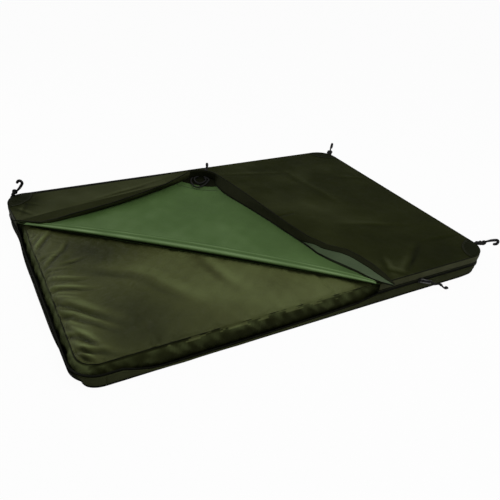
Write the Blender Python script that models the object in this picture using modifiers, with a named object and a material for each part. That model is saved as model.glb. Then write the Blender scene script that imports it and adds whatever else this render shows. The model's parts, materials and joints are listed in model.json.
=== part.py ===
"""Zip-up unhooking mat: a padded mat in a shallow fabric tray, under a zipped cloth cover.

The cover's front left corner is folded back over the cover, green lining up. Metres, +Z up,
origin on the ground under the middle of the closed mat; X runs along the long side and the
front edge is at -Y. The folded corner is modelled closed and turned over about its fold.
"""

import math

import bmesh
import bpy
from mathutils import Matrix, Quaternion, Vector

# Closed size of the whole mat
LENGTH = 1.10
WIDTH = 0.76
HEIGHT = 0.058
CORNER_RADIUS = 0.06
CORNER_STEPS = 8

# Cloth, and the gap left between pieces that touch
SKIN = 0.0015
LINING = 0.0012
CLEARANCE = 0.0003
TRAY_WALL_HEIGHT = 0.025

# Zip: two halves of chain on tapes that are sewn inside the walls
TAPE_THICKNESS = 0.001
TAPE_SEWN = 0.015
CHAIN_DEPTH = 0.0028
CHAIN_HEIGHT = 0.0026
ZIP_END_SETBACK = 0.02
STOP_LENGTH = 0.005

# Slider: two plates with lips round the chain, joined by a post between its halves
PLATE = 0.0012
POST_THICKNESS = 0.001
POST_LENGTH = 0.004
SLIDER_LENGTH = 0.016
SLIDER_SIDE_CLEARANCE = 0.0004
SLIDER_CLEARANCE = 0.0007
SLIDER_X = 0.306
BRIDGE_LENGTH = 0.011
BRIDGE_WIDTH = 0.0025
BRIDGE_BAR = 0.0011
BRIDGE_LEG = 0.0017
UNION_OVERLAP = 0.0004

# Pull: a tab on the slider's bridge, and a cord with a moulded grip through the tab
CROSSBAR = 0.0011
PULL_WIDTH = 0.008
PULL_RAIL = 0.0015
PULL_WINDOW = 0.0075
PULL_LENGTH = 0.022
PULL_THICKNESS = 0.001
PULL_ROUND = 0.0015
PULL_HOLE_RADIUS = 0.002
PULL_HOLE_SETBACK = 0.004
PULL_OUTWARD_ANGLE = math.radians(20)
PULL_CORD_RADIUS = 0.0012
PULL_CORD_LENGTH = 0.013
PULL_CORD_BEND = 0.0018
GRIP_LENGTH = 0.032
GRIP_RADIUS = 0.0036
GRIP_PROFILE_SHARES = ((0.0, 0.72), (0.06, 0.86), (0.35, 1.0), (0.7, 0.92), (0.94, 0.8), (1.0, 0.55))
GROUND_GAP = 0.0006

# Padded mat: foam in a sewn skin with a piped seam round the top
MAT_SIDE_GAP = 0.0014
MAT_SEAM_HEIGHT = 0.048
PIPING_RADIUS = 0.0012
MAT_DRAW_IN = 0.004
MAT_SIDE_STEPS = 8
CROWN_REACH = 0.14
CROWN_SHARES = ((0.0, 0.0), (0.05, 0.34), (0.16, 0.62), (0.45, 0.88), (1.0, 1.0))
SIDE_BULGE = 0.0025
SIDE_BULGE_SHARES = ((0.0, 0.0), (0.3, 0.8), (0.6, 1.0), (1.0, 0.3))

# Folded corner: where the fold meets the left edge, from the back, and the front edge, from the left
FOLD_FROM_BACK = 0.16
FOLD_FROM_LEFT = 0.72
FOLD_ANGLE = math.pi
ROLL_HEIGHT = 0.0085
ROLL_NOSE = 0.007
ROLL_TAIL = 0.024
ROLL_END_MARGIN = 0.009
ROLL_TOP_SHARES = ((-1.0, 0.06), (-0.72, 0.3), (-0.42, 0.72), (-0.16, 0.97), (0.0, 1.0))
ROLL_NOSE_SHARES = ((0.55, 0.78), (0.92, 0.34), (1.0, -0.12), (0.72, -0.56), (0.3, -0.78))

# Reinforcing patches and webbing tabs at the corners
PATCH_THICKNESS = 0.0008
PATCH_INSET = 0.004
PATCH_REACH = 0.062
TAB_THICKNESS = 0.0024
TAB_WIDTH = 0.01
TAB_REACH = 0.009
TAB_DEPTH_BELOW_TOP = 0.0038
SLEEVE_WALL = 0.0012

# Elastic loops and plastic hooks
ELASTIC_RADIUS = 0.0018
LOOP_REACH = 0.018
LOOP_HALF_WIDTH = 0.0085
LOOP_TIP_HALF_WIDTH = 0.005
LOOP_BEND = 0.0028
LOOP_BEND_STEPS = 4
EYE_HOLE_RADIUS = 0.0034
HOOK_WIRE_RADIUS = 0.002
HOOK_LENGTH = 0.062
HOOK_BEND_RADIUS = 0.0065
HOOK_TIP = 0.006
HOOK_BEND_STEPS = 8
ROUND_SIDES = 16

# Corner name: arc centre signs, place on the corner's arc, way that the hook lies, its tilt
HOOK_LAYS = {
    "back_left": ((-1, 1), math.radians(126), math.radians(148), math.radians(122)),
    "back_right": ((1, 1), math.radians(30), math.radians(45), math.radians(16)),
    "front_right": ((1, -1), math.radians(-6), math.radians(-26), math.radians(6)),
    "folded_corner": ((-1, -1), math.radians(225), math.radians(225), math.radians(-11)),
}

# Heights of the stack
CHAIN_GAP = POST_THICKNESS + 2 * CLEARANCE
WALL_TO_CHAIN = PLATE + 2 * SLIDER_CLEARANCE
TRAY_CHAIN_LOW = TRAY_WALL_HEIGHT + WALL_TO_CHAIN
TRAY_CHAIN_HIGH = TRAY_CHAIN_LOW + CHAIN_HEIGHT
COVER_CHAIN_LOW = TRAY_CHAIN_HIGH + CHAIN_GAP
COVER_CHAIN_HIGH = COVER_CHAIN_LOW + CHAIN_HEIGHT
COVER_WALL_LOW = COVER_CHAIN_HIGH + WALL_TO_CHAIN
COVER_WALL_HIGH = HEIGHT - SKIN - CLEARANCE
LINING_LOW = COVER_WALL_HIGH - LINING
ZIP_HEIGHT = (TRAY_CHAIN_HIGH + COVER_CHAIN_LOW) / 2
MAT_LOW = SKIN + CLEARANCE
MAT_TOP = LINING_LOW - CLEARANCE
FOLD_HEIGHT = HEIGHT + PATCH_THICKNESS / 2 + CLEARANCE

# Insets from the outer outline
TAPE_INSET = SKIN + CLEARANCE
CHAIN_INSET = TAPE_INSET + TAPE_THICKNESS / 2 - CHAIN_DEPTH / 2
SLIDER_INNER = CHAIN_INSET + CHAIN_DEPTH + SLIDER_SIDE_CLEARANCE
MAT_INSET = SLIDER_INNER + PLATE + MAT_SIDE_GAP

# Places
ZIP_END_Y = WIDTH / 2 - CORNER_RADIUS - ZIP_END_SETBACK
STRIP_START_Y = ZIP_END_Y + STOP_LENGTH + 2 * CLEARANCE
FOLD_LEFT_POINT = Vector((-LENGTH / 2, WIDTH / 2 - FOLD_FROM_BACK, 0))
FOLD_FRONT_POINT = Vector((FOLD_FROM_LEFT - LENGTH / 2, -WIDTH / 2, 0))
FOLD_DIRECTION = (FOLD_FRONT_POINT - FOLD_LEFT_POINT).normalized()
FOLD_NORMAL = Vector((FOLD_DIRECTION.y, -FOLD_DIRECTION.x, 0))
RIGHT = Vector((1, 0, 0))
BACK = Vector((0, 1, 0))
UP = Vector((0, 0, 1))

PARTS = "unhooking_mat"
HELPERS = "cutters"

# Colour, roughness and metallic value of each material
FINISHES = {
    "cover_cloth": ((0.018, 0.021, 0.009, 1), 0.55, 0),
    "tray_cloth": ((0.026, 0.030, 0.013, 1), 0.6, 0),
    "mat_cloth": ((0.052, 0.060, 0.026, 1), 0.45, 0),
    "lining_cloth": ((0.052, 0.094, 0.034, 1), 0.5, 0),
    "foam": ((0.32, 0.33, 0.3, 1), 0.9, 0),
    "zip_black": ((0.006, 0.006, 0.005, 1), 0.5, 0),
    "zip_metal": ((0.25, 0.26, 0.26, 1), 0.35, 1),
    "patch_cloth": ((0.02, 0.021, 0.017, 1), 0.6, 0),
    "webbing": ((0.012, 0.012, 0.01, 1), 0.7, 0),
    "elastic": ((0.01, 0.01, 0.009, 1), 0.75, 0),
    "hook_plastic": ((0.008, 0.008, 0.008, 1), 0.4, 0),
}


def clear_scene():
    for obj in list(bpy.data.objects):
        bpy.data.objects.remove(obj, do_unlink=True)
    for name in (PARTS, HELPERS):
        collection = bpy.data.collections.new(name)
        bpy.context.scene.collection.children.link(collection)


def material(name):
    """The finish's own material, made when it is first asked for."""
    found = bpy.data.materials.get(name)
    if found:
        return found
    colour, roughness, metallic = FINISHES[name]
    made = bpy.data.materials.new(name)
    made.use_nodes = True
    shader = made.node_tree.nodes["Principled BSDF"]
    shader.inputs["Base Color"].default_value = colour
    shader.inputs["Roughness"].default_value = roughness
    shader.inputs["Metallic"].default_value = metallic
    return made


def add_object(name, mesh, finish, collection=PARTS):
    obj = bpy.data.objects.new(name, mesh)
    obj.data.materials.append(material(finish))
    bpy.data.collections[collection].objects.link(obj)
    return obj


def object_from(bm, name, finish):
    mesh = bpy.data.meshes.new(name)
    bm.to_mesh(mesh)
    bm.free()
    return add_object(name, mesh, finish)


def add_axis(name, location, rotation=None, parent=None):
    """An empty on a joint's axis, which the moving pieces hang on."""
    empty = bpy.data.objects.new(name, None)
    bpy.data.collections[PARTS].objects.link(empty)
    empty.parent = parent
    empty.location = location
    empty.rotation_mode = "QUATERNION"
    empty.rotation_quaternion = rotation or Quaternion()
    return empty


def rounded_polygon(corners, radius, steps, closed=True):
    """The points of a flat polygon or path whose corners are arcs."""
    points = []
    for index, corner in enumerate(corners):
        if not closed and index in (0, len(corners) - 1):
            points.append(Vector(corner))
            continue
        here = Vector(corner)
        back = (Vector(corners[index - 1]) - here).normalized()
        ahead = (Vector(corners[(index + 1) % len(corners)]) - here).normalized()
        half_angle = back.angle(ahead) / 2
        centre = here + (back + ahead).normalized() * radius / math.sin(half_angle)
        start = here + back * radius / math.tan(half_angle) - centre
        turn = math.pi - 2 * half_angle
        sign = 1 if back.x * ahead.y - back.y * ahead.x < 0 else -1
        for step in range(steps + 1):
            angle = sign * turn * step / steps
            points.append(centre + start @ Matrix.Rotation(-angle, 2))
    return points


def rectangle(low_x, high_x, low_y, high_y):
    return [(low_x, low_y), (high_x, low_y), (high_x, high_y), (low_x, high_y)]


def outline(inset):
    """The mat's plan at this inset, anticlockwise."""
    half_x = LENGTH / 2 - inset
    half_y = WIDTH / 2 - inset
    radius = CORNER_RADIUS - min(inset, CORNER_RADIUS / 2)
    return rounded_polygon(rectangle(-half_x, half_x, -half_y, half_y), radius, CORNER_STEPS)


def cushion_outline(inset):
    """The padded mat's plan at this inset: its long runs are divided and drawn in."""
    corners = outline(inset)
    half_x = LENGTH / 2 - inset
    half_y = WIDTH / 2 - inset
    points = []
    for index, start in enumerate(corners):
        end = corners[(index + 1) % len(corners)]
        long_run = (index + 1) % (CORNER_STEPS + 1) == 0
        count = MAT_SIDE_STEPS if long_run else 1
        points += [start.lerp(end, step / count) for step in range(count)]
    return [
        Vector((
            point.x * (1 - MAT_DRAW_IN / half_x * max(0, 1 - (point.y / half_y) ** 2)),
            point.y * (1 - MAT_DRAW_IN / half_y * max(0, 1 - (point.x / half_x) ** 2)),
        ))
        for point in points
    ]


def loft(rings, base=False, top=False):
    """A bmesh with faces between the rings, which climb, and over the ends that are asked for."""
    bm = bmesh.new()
    rows = [[bm.verts.new((point.x, point.y, height)) for point in ring] for ring, height in rings]
    for low, high in zip(rows, rows[1:]):
        for index in range(len(low)):
            after = (index + 1) % len(low)
            bm.faces.new((low[index], low[after], high[after], high[index]))
    if base:
        bm.faces.new(rows[0][::-1])
    if top:
        bm.faces.new(rows[-1])
    return bm


def cut_away(bm, cuts):
    """Removes what lies past each upright plane, given as a point on it and its outward normal."""
    for point, normal in cuts:
        everything = bm.verts[:] + bm.edges[:] + bm.faces[:]
        bmesh.ops.bisect_plane(bm, geom=everything, plane_co=point, plane_no=normal, clear_outer=True)


def solidify(obj, thickness):
    thicken = obj.modifiers.new("thickness", "SOLIDIFY")
    thicken.thickness = thickness
    thicken.offset = -1
    thicken.use_even_offset = True


def band(name, finish, inset, low, high, thickness, cuts=()):
    """A strip of cloth that stands on the plan's outline."""
    ring = outline(inset)
    bm = loft([(ring, low), (ring, high)])
    cut_away(bm, cuts)
    obj = object_from(bm, name, finish)
    solidify(obj, thickness)
    return obj


def panel(name, finish, inset, top, thickness, cuts=()):
    """A flat sheet with the plan's outline, its upper face at this height."""
    bm = bmesh.new()
    bm.faces.new([bm.verts.new((point.x, point.y, top)) for point in outline(inset)])
    cut_away(bm, cuts)
    obj = object_from(bm, name, finish)
    solidify(obj, thickness)
    return obj


def mesh_of_curve(curve_object):
    """The curve's evaluated shape as a mesh object of the same name and place."""
    graph = bpy.context.evaluated_depsgraph_get()
    mesh = bpy.data.meshes.new_from_object(curve_object.evaluated_get(graph))
    bm = bmesh.new()
    bm.from_mesh(mesh)
    bmesh.ops.remove_doubles(bm, verts=bm.verts, dist=CLEARANCE / 100)
    bmesh.ops.recalc_face_normals(bm, faces=bm.faces)
    bm.to_mesh(mesh)
    bm.free()
    name = curve_object.name
    place = curve_object.matrix_world.copy()
    finish = curve_object.data.materials[0].name
    bpy.data.objects.remove(curve_object, do_unlink=True)
    made = add_object(name, mesh, finish)
    made.data.materials.pop(index=1)
    made.matrix_world = place
    return made


def tube(name, finish, points, radius, closed=False):
    """A round cord or wire through these points."""
    curve = bpy.data.curves.new(name, "CURVE")
    curve.dimensions = "3D"
    curve.bevel_depth = radius
    curve.bevel_resolution = 2
    curve.use_fill_caps = not closed
    spline = curve.splines.new("POLY")
    spline.points.add(len(points) - 1)
    for slot, point in zip(spline.points, points):
        slot.co = (*point, 1)
    spline.use_cyclic_u = closed
    return mesh_of_curve(add_object(name, curve, finish))


def plate(name, finish, loops, thickness):
    """A flat shape in its own XY plane, with the later loops as holes."""
    curve = bpy.data.curves.new(name, "CURVE")
    curve.dimensions = "2D"
    curve.fill_mode = "BOTH"
    curve.extrude = thickness / 2
    for loop in loops:
        spline = curve.splines.new("POLY")
        spline.points.add(len(loop) - 1)
        for slot, point in zip(spline.points, loop):
            slot.co = (point[0], point[1], 0, 1)
        spline.use_cyclic_u = True
    return mesh_of_curve(add_object(name, curve, finish))


def circle(centre_x, centre_y, radius):
    turns = [2 * math.pi * step / ROUND_SIDES for step in range(ROUND_SIDES)]
    return [(centre_x + radius * math.cos(turn), centre_y + radius * math.sin(turn)) for turn in turns]


def smooth(obj, angle=math.radians(40)):
    obj.data.shade_smooth()
    obj.data.set_sharp_from_angle(angle=angle)
    return obj


def helper(obj):
    """Marks an object as one that only cuts or joins."""
    bpy.data.collections[PARTS].objects.unlink(obj)
    bpy.data.collections[HELPERS].objects.link(obj)
    obj.hide_render = True
    obj.display_type = "WIRE"
    return obj


def combine(obj, other, operation):
    modifier = obj.modifiers.new(other.name, "BOOLEAN")
    modifier.operation = operation
    modifier.object = helper(other)
    modifier.solver = "EXACT"


def box(name, finish, low, high):
    bm = bmesh.new()
    bmesh.ops.create_cube(bm, size=1)
    size = Vector(high) - Vector(low)
    bmesh.ops.scale(bm, verts=bm.verts, vec=size)
    bmesh.ops.translate(bm, verts=bm.verts, vec=(Vector(low) + Vector(high)) / 2)
    return object_from(bm, name, finish)


def place(obj, matrix, parent=None):
    """Puts a piece in its parent's frame."""
    obj.parent = parent
    obj.matrix_local = matrix
    return obj


def before_fold(point_shift):
    """The cut that keeps the fixed side of the fold, or with a negative shift its other side."""
    normal = FOLD_NORMAL if point_shift < 0 else -FOLD_NORMAL
    return FOLD_LEFT_POINT + FOLD_NORMAL * point_shift, normal


FIXED_SIDE = before_fold(-CLEARANCE / 2)
FOLDED_SIDE = before_fold(CLEARANCE / 2)
ZIP_RUN = (BACK * ZIP_END_Y, BACK)
LEFT_HALF = (Vector(), RIGHT)
RIGHT_HALF = (Vector(), -RIGHT)


def build_tray():
    panel("tray_bottom", "tray_cloth", 0, SKIN, SKIN)
    band("tray_wall", "tray_cloth", 0, SKIN + CLEARANCE, TRAY_WALL_HEIGHT, SKIN)
    tape_low = TRAY_WALL_HEIGHT - TAPE_SEWN
    tape_high = TRAY_CHAIN_LOW - CLEARANCE
    band("tray_zip_tape", "zip_black", TAPE_INSET, tape_low, tape_high, TAPE_THICKNESS, [ZIP_RUN])
    band("tray_zip_chain", "zip_black", CHAIN_INSET, TRAY_CHAIN_LOW, TRAY_CHAIN_HIGH, CHAIN_DEPTH, [ZIP_RUN])
    low = TRAY_WALL_HEIGHT + CLEARANCE
    high = COVER_WALL_LOW - CLEARANCE
    band("back_hinge_strip", "cover_cloth", 0, low, high, SKIN, [(BACK * STRIP_START_Y, -BACK)])


def crown_rings(inset, edge, crown):
    """Rings from the mat's edge up over its crowned top."""
    return [
        (cushion_outline(inset + CROWN_REACH * across), edge + (crown - edge) * rise)
        for across, rise in CROWN_SHARES
    ]


def side_rings(inset, low, high):
    """Rings up the mat's side, which swells between its seams."""
    return [
        (cushion_outline(inset + SIDE_BULGE * (1 - swell)), low + (high - low) * climb)
        for climb, swell in SIDE_BULGE_SHARES
    ]


def build_mat():
    bottom_top = MAT_LOW + LINING
    bm = loft([(cushion_outline(MAT_INSET + SIDE_BULGE), bottom_top)], top=True)
    solidify(object_from(bm, "mat_bottom_panel", "mat_cloth"), LINING)

    side_low = bottom_top + CLEARANCE
    side_high = MAT_SEAM_HEIGHT - PIPING_RADIUS - CLEARANCE
    side = smooth(object_from(loft(side_rings(MAT_INSET, side_low, side_high)), "mat_side_band", "mat_cloth"))
    solidify(side, LINING)

    seam_inset = MAT_INSET + SIDE_BULGE
    seam = [(point.x, point.y, MAT_SEAM_HEIGHT) for point in cushion_outline(seam_inset)]
    smooth(tube("mat_seam_piping", "mat_cloth", seam, PIPING_RADIUS, closed=True))

    edge = MAT_SEAM_HEIGHT + PIPING_RADIUS + CLEARANCE + LINING
    bm = loft(crown_rings(seam_inset, edge, MAT_TOP), top=True)
    solidify(smooth(object_from(bm, "mat_top_panel", "mat_cloth")), LINING)

    within = LINING + CLEARANCE
    drop = within + LINING / 2
    rings = side_rings(MAT_INSET + within, side_low, side_high)
    rings += crown_rings(seam_inset + drop, edge - drop, MAT_TOP - drop)
    smooth(object_from(loft(rings, base=True, top=True), "mat_foam", "foam"))


def build_cover():
    fixed = [FIXED_SIDE]
    panel("cover_top_panel", "cover_cloth", 0, HEIGHT, SKIN, fixed)
    panel("cover_lining", "lining_cloth", TAPE_INSET, COVER_WALL_HIGH, LINING, fixed)
    band("cover_side_wall", "cover_cloth", 0, COVER_WALL_LOW, COVER_WALL_HIGH - CLEARANCE, SKIN, fixed)
    tape_low = COVER_CHAIN_HIGH + CLEARANCE
    tape_high = COVER_WALL_LOW + TAPE_SEWN
    for side, half in (("left", LEFT_HALF), ("right", RIGHT_HALF)):
        cuts = [FIXED_SIDE, ZIP_RUN, half]
        band(f"cover_zip_tape_{side}", "zip_black", TAPE_INSET, tape_low, tape_high, TAPE_THICKNESS, cuts)
        band(
            f"cover_zip_chain_{side}", "zip_black", CHAIN_INSET,
            COVER_CHAIN_LOW, COVER_CHAIN_HIGH, CHAIN_DEPTH, cuts,
        )


def build_zip_stops():
    """Blocks past the chain's ends: one holds both halves, and one ends each half."""
    near = ZIP_END_Y + CLEARANCE
    far = near + STOP_LENGTH
    outer = LENGTH / 2 - CHAIN_INSET
    inner = outer - CHAIN_DEPTH
    box("zip_bottom_stop", "zip_metal", (inner, near, TRAY_CHAIN_LOW), (outer, far, COVER_CHAIN_HIGH))
    for name, low, high in (
        ("zip_top_stop_tray", TRAY_CHAIN_LOW, TRAY_CHAIN_HIGH),
        ("zip_top_stop_cover", COVER_CHAIN_LOW, COVER_CHAIN_HIGH),
    ):
        box(name, "zip_metal", (-outer, near, low), (-inner, far, high))


def roll_section():
    """The rolled edge's outline: distance past the fold, and height while the corner is closed."""
    lining_face = LINING_LOW - CLEARANCE
    nose_top = lining_face - ROLL_HEIGHT
    points = [(CLEARANCE, lining_face)]
    points += [(ROLL_TAIL * -across, lining_face - ROLL_HEIGHT * rise) for across, rise in ROLL_TOP_SHARES]
    middle = (nose_top + FOLD_HEIGHT + FOLD_HEIGHT - LINING_LOW) / 2
    half = (2 * FOLD_HEIGHT - LINING_LOW - nose_top) / 2
    points += [(-ROLL_NOSE * across, middle - half * rise) for across, rise in ROLL_NOSE_SHARES]
    points.append((-CLEARANCE, middle + half))
    points.append((-CLEARANCE, lining_face))
    return points[1:]


def build_roll(hinge):
    """The fat roll of cloth along the fold, on the side that shows when the corner is back."""
    bm = bmesh.new()
    start = FOLD_LEFT_POINT
    section = [bm.verts.new(start + FOLD_NORMAL * past + UP * height) for past, height in roll_section()]
    face = bm.faces.new(section)
    run = FOLD_FRONT_POINT - FOLD_LEFT_POINT
    made = bmesh.ops.extrude_face_region(bm, geom=[face])
    moved = [item for item in made["geom"] if isinstance(item, bmesh.types.BMVert)]
    bmesh.ops.translate(bm, verts=moved, vec=run)
    cut_away(bm, [
        (RIGHT * (ROLL_END_MARGIN - LENGTH / 2), -RIGHT),
        (BACK * (ROLL_END_MARGIN - WIDTH / 2), -BACK),
    ])
    bmesh.ops.holes_fill(bm, edges=[edge for edge in bm.edges if edge.is_boundary], sides=0)
    bmesh.ops.recalc_face_normals(bm, faces=bm.faces)
    return on_hinge(smooth(object_from(bm, "cover_fold_roll", "lining_cloth")), hinge)


def on_hinge(obj, hinge):
    """Hangs a piece that is modelled in place on an axis that hasn't been turned yet."""
    return place(obj, Matrix.Translation(-hinge.location), hinge)


def build_folded_corner():
    """The corner of the cover past the fold, closed; its hinge then turns it back."""
    hinge = add_axis("corner_hinge_axis", FOLD_LEFT_POINT + UP * FOLD_HEIGHT)
    folded = [FOLDED_SIDE]
    tape = (COVER_CHAIN_HIGH + CLEARANCE, COVER_WALL_LOW + TAPE_SEWN)
    for piece in (
        panel("corner_top_panel", "cover_cloth", 0, HEIGHT, SKIN, folded),
        panel("corner_lining", "lining_cloth", TAPE_INSET, COVER_WALL_HIGH, LINING, folded),
        band("corner_side_wall", "cover_cloth", 0, COVER_WALL_LOW, COVER_WALL_HIGH - CLEARANCE, SKIN, folded),
        band("corner_zip_tape", "zip_black", TAPE_INSET, *tape, TAPE_THICKNESS, folded),
        band("corner_zip_chain", "zip_black", CHAIN_INSET, COVER_CHAIN_LOW, COVER_CHAIN_HIGH, CHAIN_DEPTH, folded),
    ):
        on_hinge(piece, hinge)
    build_roll(hinge)
    return hinge


def build_slider():
    """The zip slider, its outer face to -Y, made at its axis's origin."""
    axis = add_axis("slider_axis", (SLIDER_X, -WIDTH / 2, ZIP_HEIGHT))
    outer_in = CHAIN_INSET - SLIDER_SIDE_CLEARANCE
    outer = outer_in - PLATE
    inner_in = SLIDER_INNER
    inner = inner_in + PLATE
    lip_low = TAPE_INSET - SLIDER_SIDE_CLEARANCE
    lip_high = TAPE_INSET + TAPE_THICKNESS + SLIDER_SIDE_CLEARANCE
    lip_in = COVER_CHAIN_HIGH - ZIP_HEIGHT + SLIDER_CLEARANCE
    lip_out = lip_in + PLATE
    half_post = POST_THICKNESS / 2
    upper = [
        (inner, lip_out), (lip_high, lip_out), (lip_high, lip_in), (inner_in, lip_in), (inner_in, half_post),
        (outer_in, half_post), (outer_in, lip_in), (lip_low, lip_in), (lip_low, lip_out), (outer, lip_out),
    ]
    section = upper + [(across, -height) for across, height in reversed(upper)]
    body = plate("zip_slider", "zip_metal", [section], SLIDER_LENGTH)
    stand_up = Matrix(((0, 0, 1, 0), (1, 0, 0, 0), (0, 1, 0, 0), (0, 0, 0, 1)))
    place(body, stand_up, axis)

    middle = (outer_in + inner_in) / 2
    reach = (inner_in - outer_in) / 2
    slot = box(
        "slider_slot", "zip_metal",
        (POST_LENGTH - SLIDER_LENGTH / 2, middle - reach, -POST_THICKNESS),
        (SLIDER_LENGTH, middle + reach, POST_THICKNESS),
    )
    combine(body, place(slot, Matrix(), axis), "DIFFERENCE")

    half = BRIDGE_LENGTH / 2
    foot = outer + UNION_OVERLAP
    bar_in = outer - CROSSBAR - 2 * CLEARANCE
    bar_out = bar_in - BRIDGE_BAR
    bridge = plate(
        "slider_bridge", "zip_metal",
        [[
            (-half, foot), (-half, bar_out), (half, bar_out), (half, foot), (half - BRIDGE_LEG, foot),
            (half - BRIDGE_LEG, bar_in), (BRIDGE_LEG - half, bar_in), (BRIDGE_LEG - half, foot),
        ]],
        BRIDGE_WIDTH,
    )
    combine(body, place(bridge, Matrix(), axis), "UNION")
    return axis, outer - CLEARANCE - CROSSBAR / 2


def build_pull(slider_axis, crossbar_y):
    """The pull's tab, turned out from the wall, with its cord and grip drooping to the ground."""
    upright = Matrix.Rotation(math.pi / 2, 4, "X").to_quaternion()
    turned = Quaternion(UP, -PULL_OUTWARD_ANGLE) @ upright
    tab_axis = add_axis("pull_tab_axis", (0, crossbar_y, 0), turned, slider_axis)
    half = PULL_WIDTH / 2
    start = -CROSSBAR / 2
    frame = rounded_polygon(rectangle(start, PULL_LENGTH, -half, half), PULL_ROUND / 2, 2)
    rail = half - PULL_RAIL
    window = rounded_polygon(rectangle(-start, PULL_WINDOW, -rail, rail), PULL_ROUND / 4, 2)
    hole_x = PULL_LENGTH - PULL_HOLE_SETBACK
    tab = plate("zip_pull_tab", "zip_metal", [frame, window, circle(hole_x, 0, PULL_HOLE_RADIUS)], PULL_THICKNESS)
    place(tab, Matrix(), tab_axis)

    reach = PULL_CORD_LENGTH + GRIP_LENGTH
    droop = math.asin((ZIP_HEIGHT - GRIP_RADIUS - GROUND_GAP) / reach)
    cord_axis = add_axis("pull_cord_axis", (hole_x, 0, 0), Quaternion(UP, -droop), tab_axis)
    side = PULL_THICKNESS / 2 + CLEARANCE + PULL_CORD_RADIUS + CLEARANCE
    path = [(PULL_CORD_LENGTH, -side), (0, -side), (0, side), (PULL_CORD_LENGTH, side)]
    path = rounded_polygon(path, min(PULL_CORD_BEND, side), LOOP_BEND_STEPS, closed=False)
    cord = tube("zip_pull_cord", "elastic", [(point.x, 0, point.y) for point in path], PULL_CORD_RADIUS)
    place(smooth(cord), Matrix(), cord_axis)

    face = PULL_CORD_LENGTH + CLEARANCE
    bm = bmesh.new()
    rows = [(face + (GRIP_LENGTH - CLEARANCE) * along, GRIP_RADIUS * wide) for along, wide in GRIP_PROFILE_SHARES]
    rows = [(rows[0][0], 0)] + rows + [(rows[-1][0], 0)]
    profile = [bm.verts.new((along, wide, 0)) for along, wide in rows]
    edges = [bm.edges.new(pair) for pair in zip(profile, profile[1:])]
    bmesh.ops.spin(
        bm, geom=profile + edges, cent=(0, 0, 0), axis=RIGHT, angle=2 * math.pi, steps=ROUND_SIDES, use_merge=True
    )
    bmesh.ops.remove_doubles(bm, verts=bm.verts, dist=CLEARANCE / 100)
    bmesh.ops.recalc_face_normals(bm, faces=bm.faces)
    place(smooth(object_from(bm, "zip_pull_grip", "hook_plastic")), Matrix(), cord_axis)


def build_patch(name, signs):
    """A patch of tougher cloth over a corner of the cover's top."""
    diagonal = Vector((signs[0], signs[1], 0)).normalized()
    corner = Vector((signs[0] * LENGTH / 2, signs[1] * WIDTH / 2, 0))
    cut = (corner - diagonal * PATCH_REACH, -diagonal)
    top = HEIGHT + CLEARANCE + PATCH_THICKNESS
    return panel(f"corner_patch_{name}", "patch_cloth", PATCH_INSET, top, PATCH_THICKNESS, [cut])


def build_tab(name, twist):
    """A webbing tab whose end is a sleeve, made with the sleeve's middle at the origin."""
    bore = ELASTIC_RADIUS + CLEARANCE
    outside = bore + SLEEVE_WALL
    sleeve = plate(f"hook_tab_{name}", "webbing", [circle(0, 0, outside)], TAB_WIDTH)
    sleeve.matrix_world = Matrix.Rotation(twist, 4, "Z") @ Matrix.Rotation(math.pi / 2, 4, "X")
    tail = box(
        f"tab_tail_{name}", "webbing",
        (CLEARANCE - TAB_REACH, -TAB_WIDTH / 2, -TAB_THICKNESS / 2), (0, TAB_WIDTH / 2, TAB_THICKNESS / 2),
    )
    hole = plate(f"tab_bore_{name}", "webbing", [circle(0, 0, bore)], TAB_WIDTH * 2)
    hole.matrix_world = sleeve.matrix_world.copy()
    combine(sleeve, tail, "UNION")
    combine(sleeve, hole, "DIFFERENCE")
    return sleeve, (tail, hole)


def build_elastic_loop(name):
    """A loop of elastic that turns in the sleeve along Y and reaches out along X."""
    corners = [
        (0, -LOOP_HALF_WIDTH), (LOOP_REACH, -LOOP_TIP_HALF_WIDTH),
        (LOOP_REACH, LOOP_TIP_HALF_WIDTH), (0, LOOP_HALF_WIDTH),
    ]
    path = [(point.x, point.y, 0) for point in rounded_polygon(corners, LOOP_BEND, LOOP_BEND_STEPS)]
    return smooth(tube(f"elastic_loop_{name}", "elastic", path, ELASTIC_RADIUS, closed=True))


def build_hook(name):
    """A plastic hook whose eye holds the loop's tip, with its open bend in the XZ plane."""
    eye_x = LOOP_REACH + EYE_HOLE_RADIUS - ELASTIC_RADIUS - CLEARANCE
    ring = EYE_HOLE_RADIUS + HOOK_WIRE_RADIUS
    bend_x = HOOK_LENGTH - HOOK_WIRE_RADIUS - HOOK_BEND_RADIUS
    path = [(eye_x + ring, 0, HOOK_BEND_RADIUS / 2)]
    path.append(((eye_x + ring + bend_x) / 2, 0, HOOK_BEND_RADIUS))
    for step in range(HOOK_BEND_STEPS + 1):
        angle = math.pi / 2 - math.pi * step / HOOK_BEND_STEPS
        path.append((bend_x + HOOK_BEND_RADIUS * math.cos(angle), 0, HOOK_BEND_RADIUS * math.sin(angle)))
    path.append((bend_x - HOOK_TIP, 0, -HOOK_BEND_RADIUS))
    hook = tube(f"hook_{name}", "hook_plastic", path, HOOK_WIRE_RADIUS)

    bpy.ops.mesh.primitive_torus_add(
        major_radius=ring, minor_radius=HOOK_WIRE_RADIUS, major_segments=ROUND_SIDES, minor_segments=ROUND_SIDES // 2
    )
    eye = bpy.context.object
    eye.name = f"hook_eye_{name}"
    eye.data.transform(Matrix.Translation((eye_x, 0, 0)) @ Matrix.Rotation(math.pi / 2, 4, "X"))
    for collection in list(eye.users_collection):
        collection.objects.unlink(eye)
    bpy.data.collections[PARTS].objects.link(eye)
    combine(hook, eye, "UNION")
    return smooth(hook), eye


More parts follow.
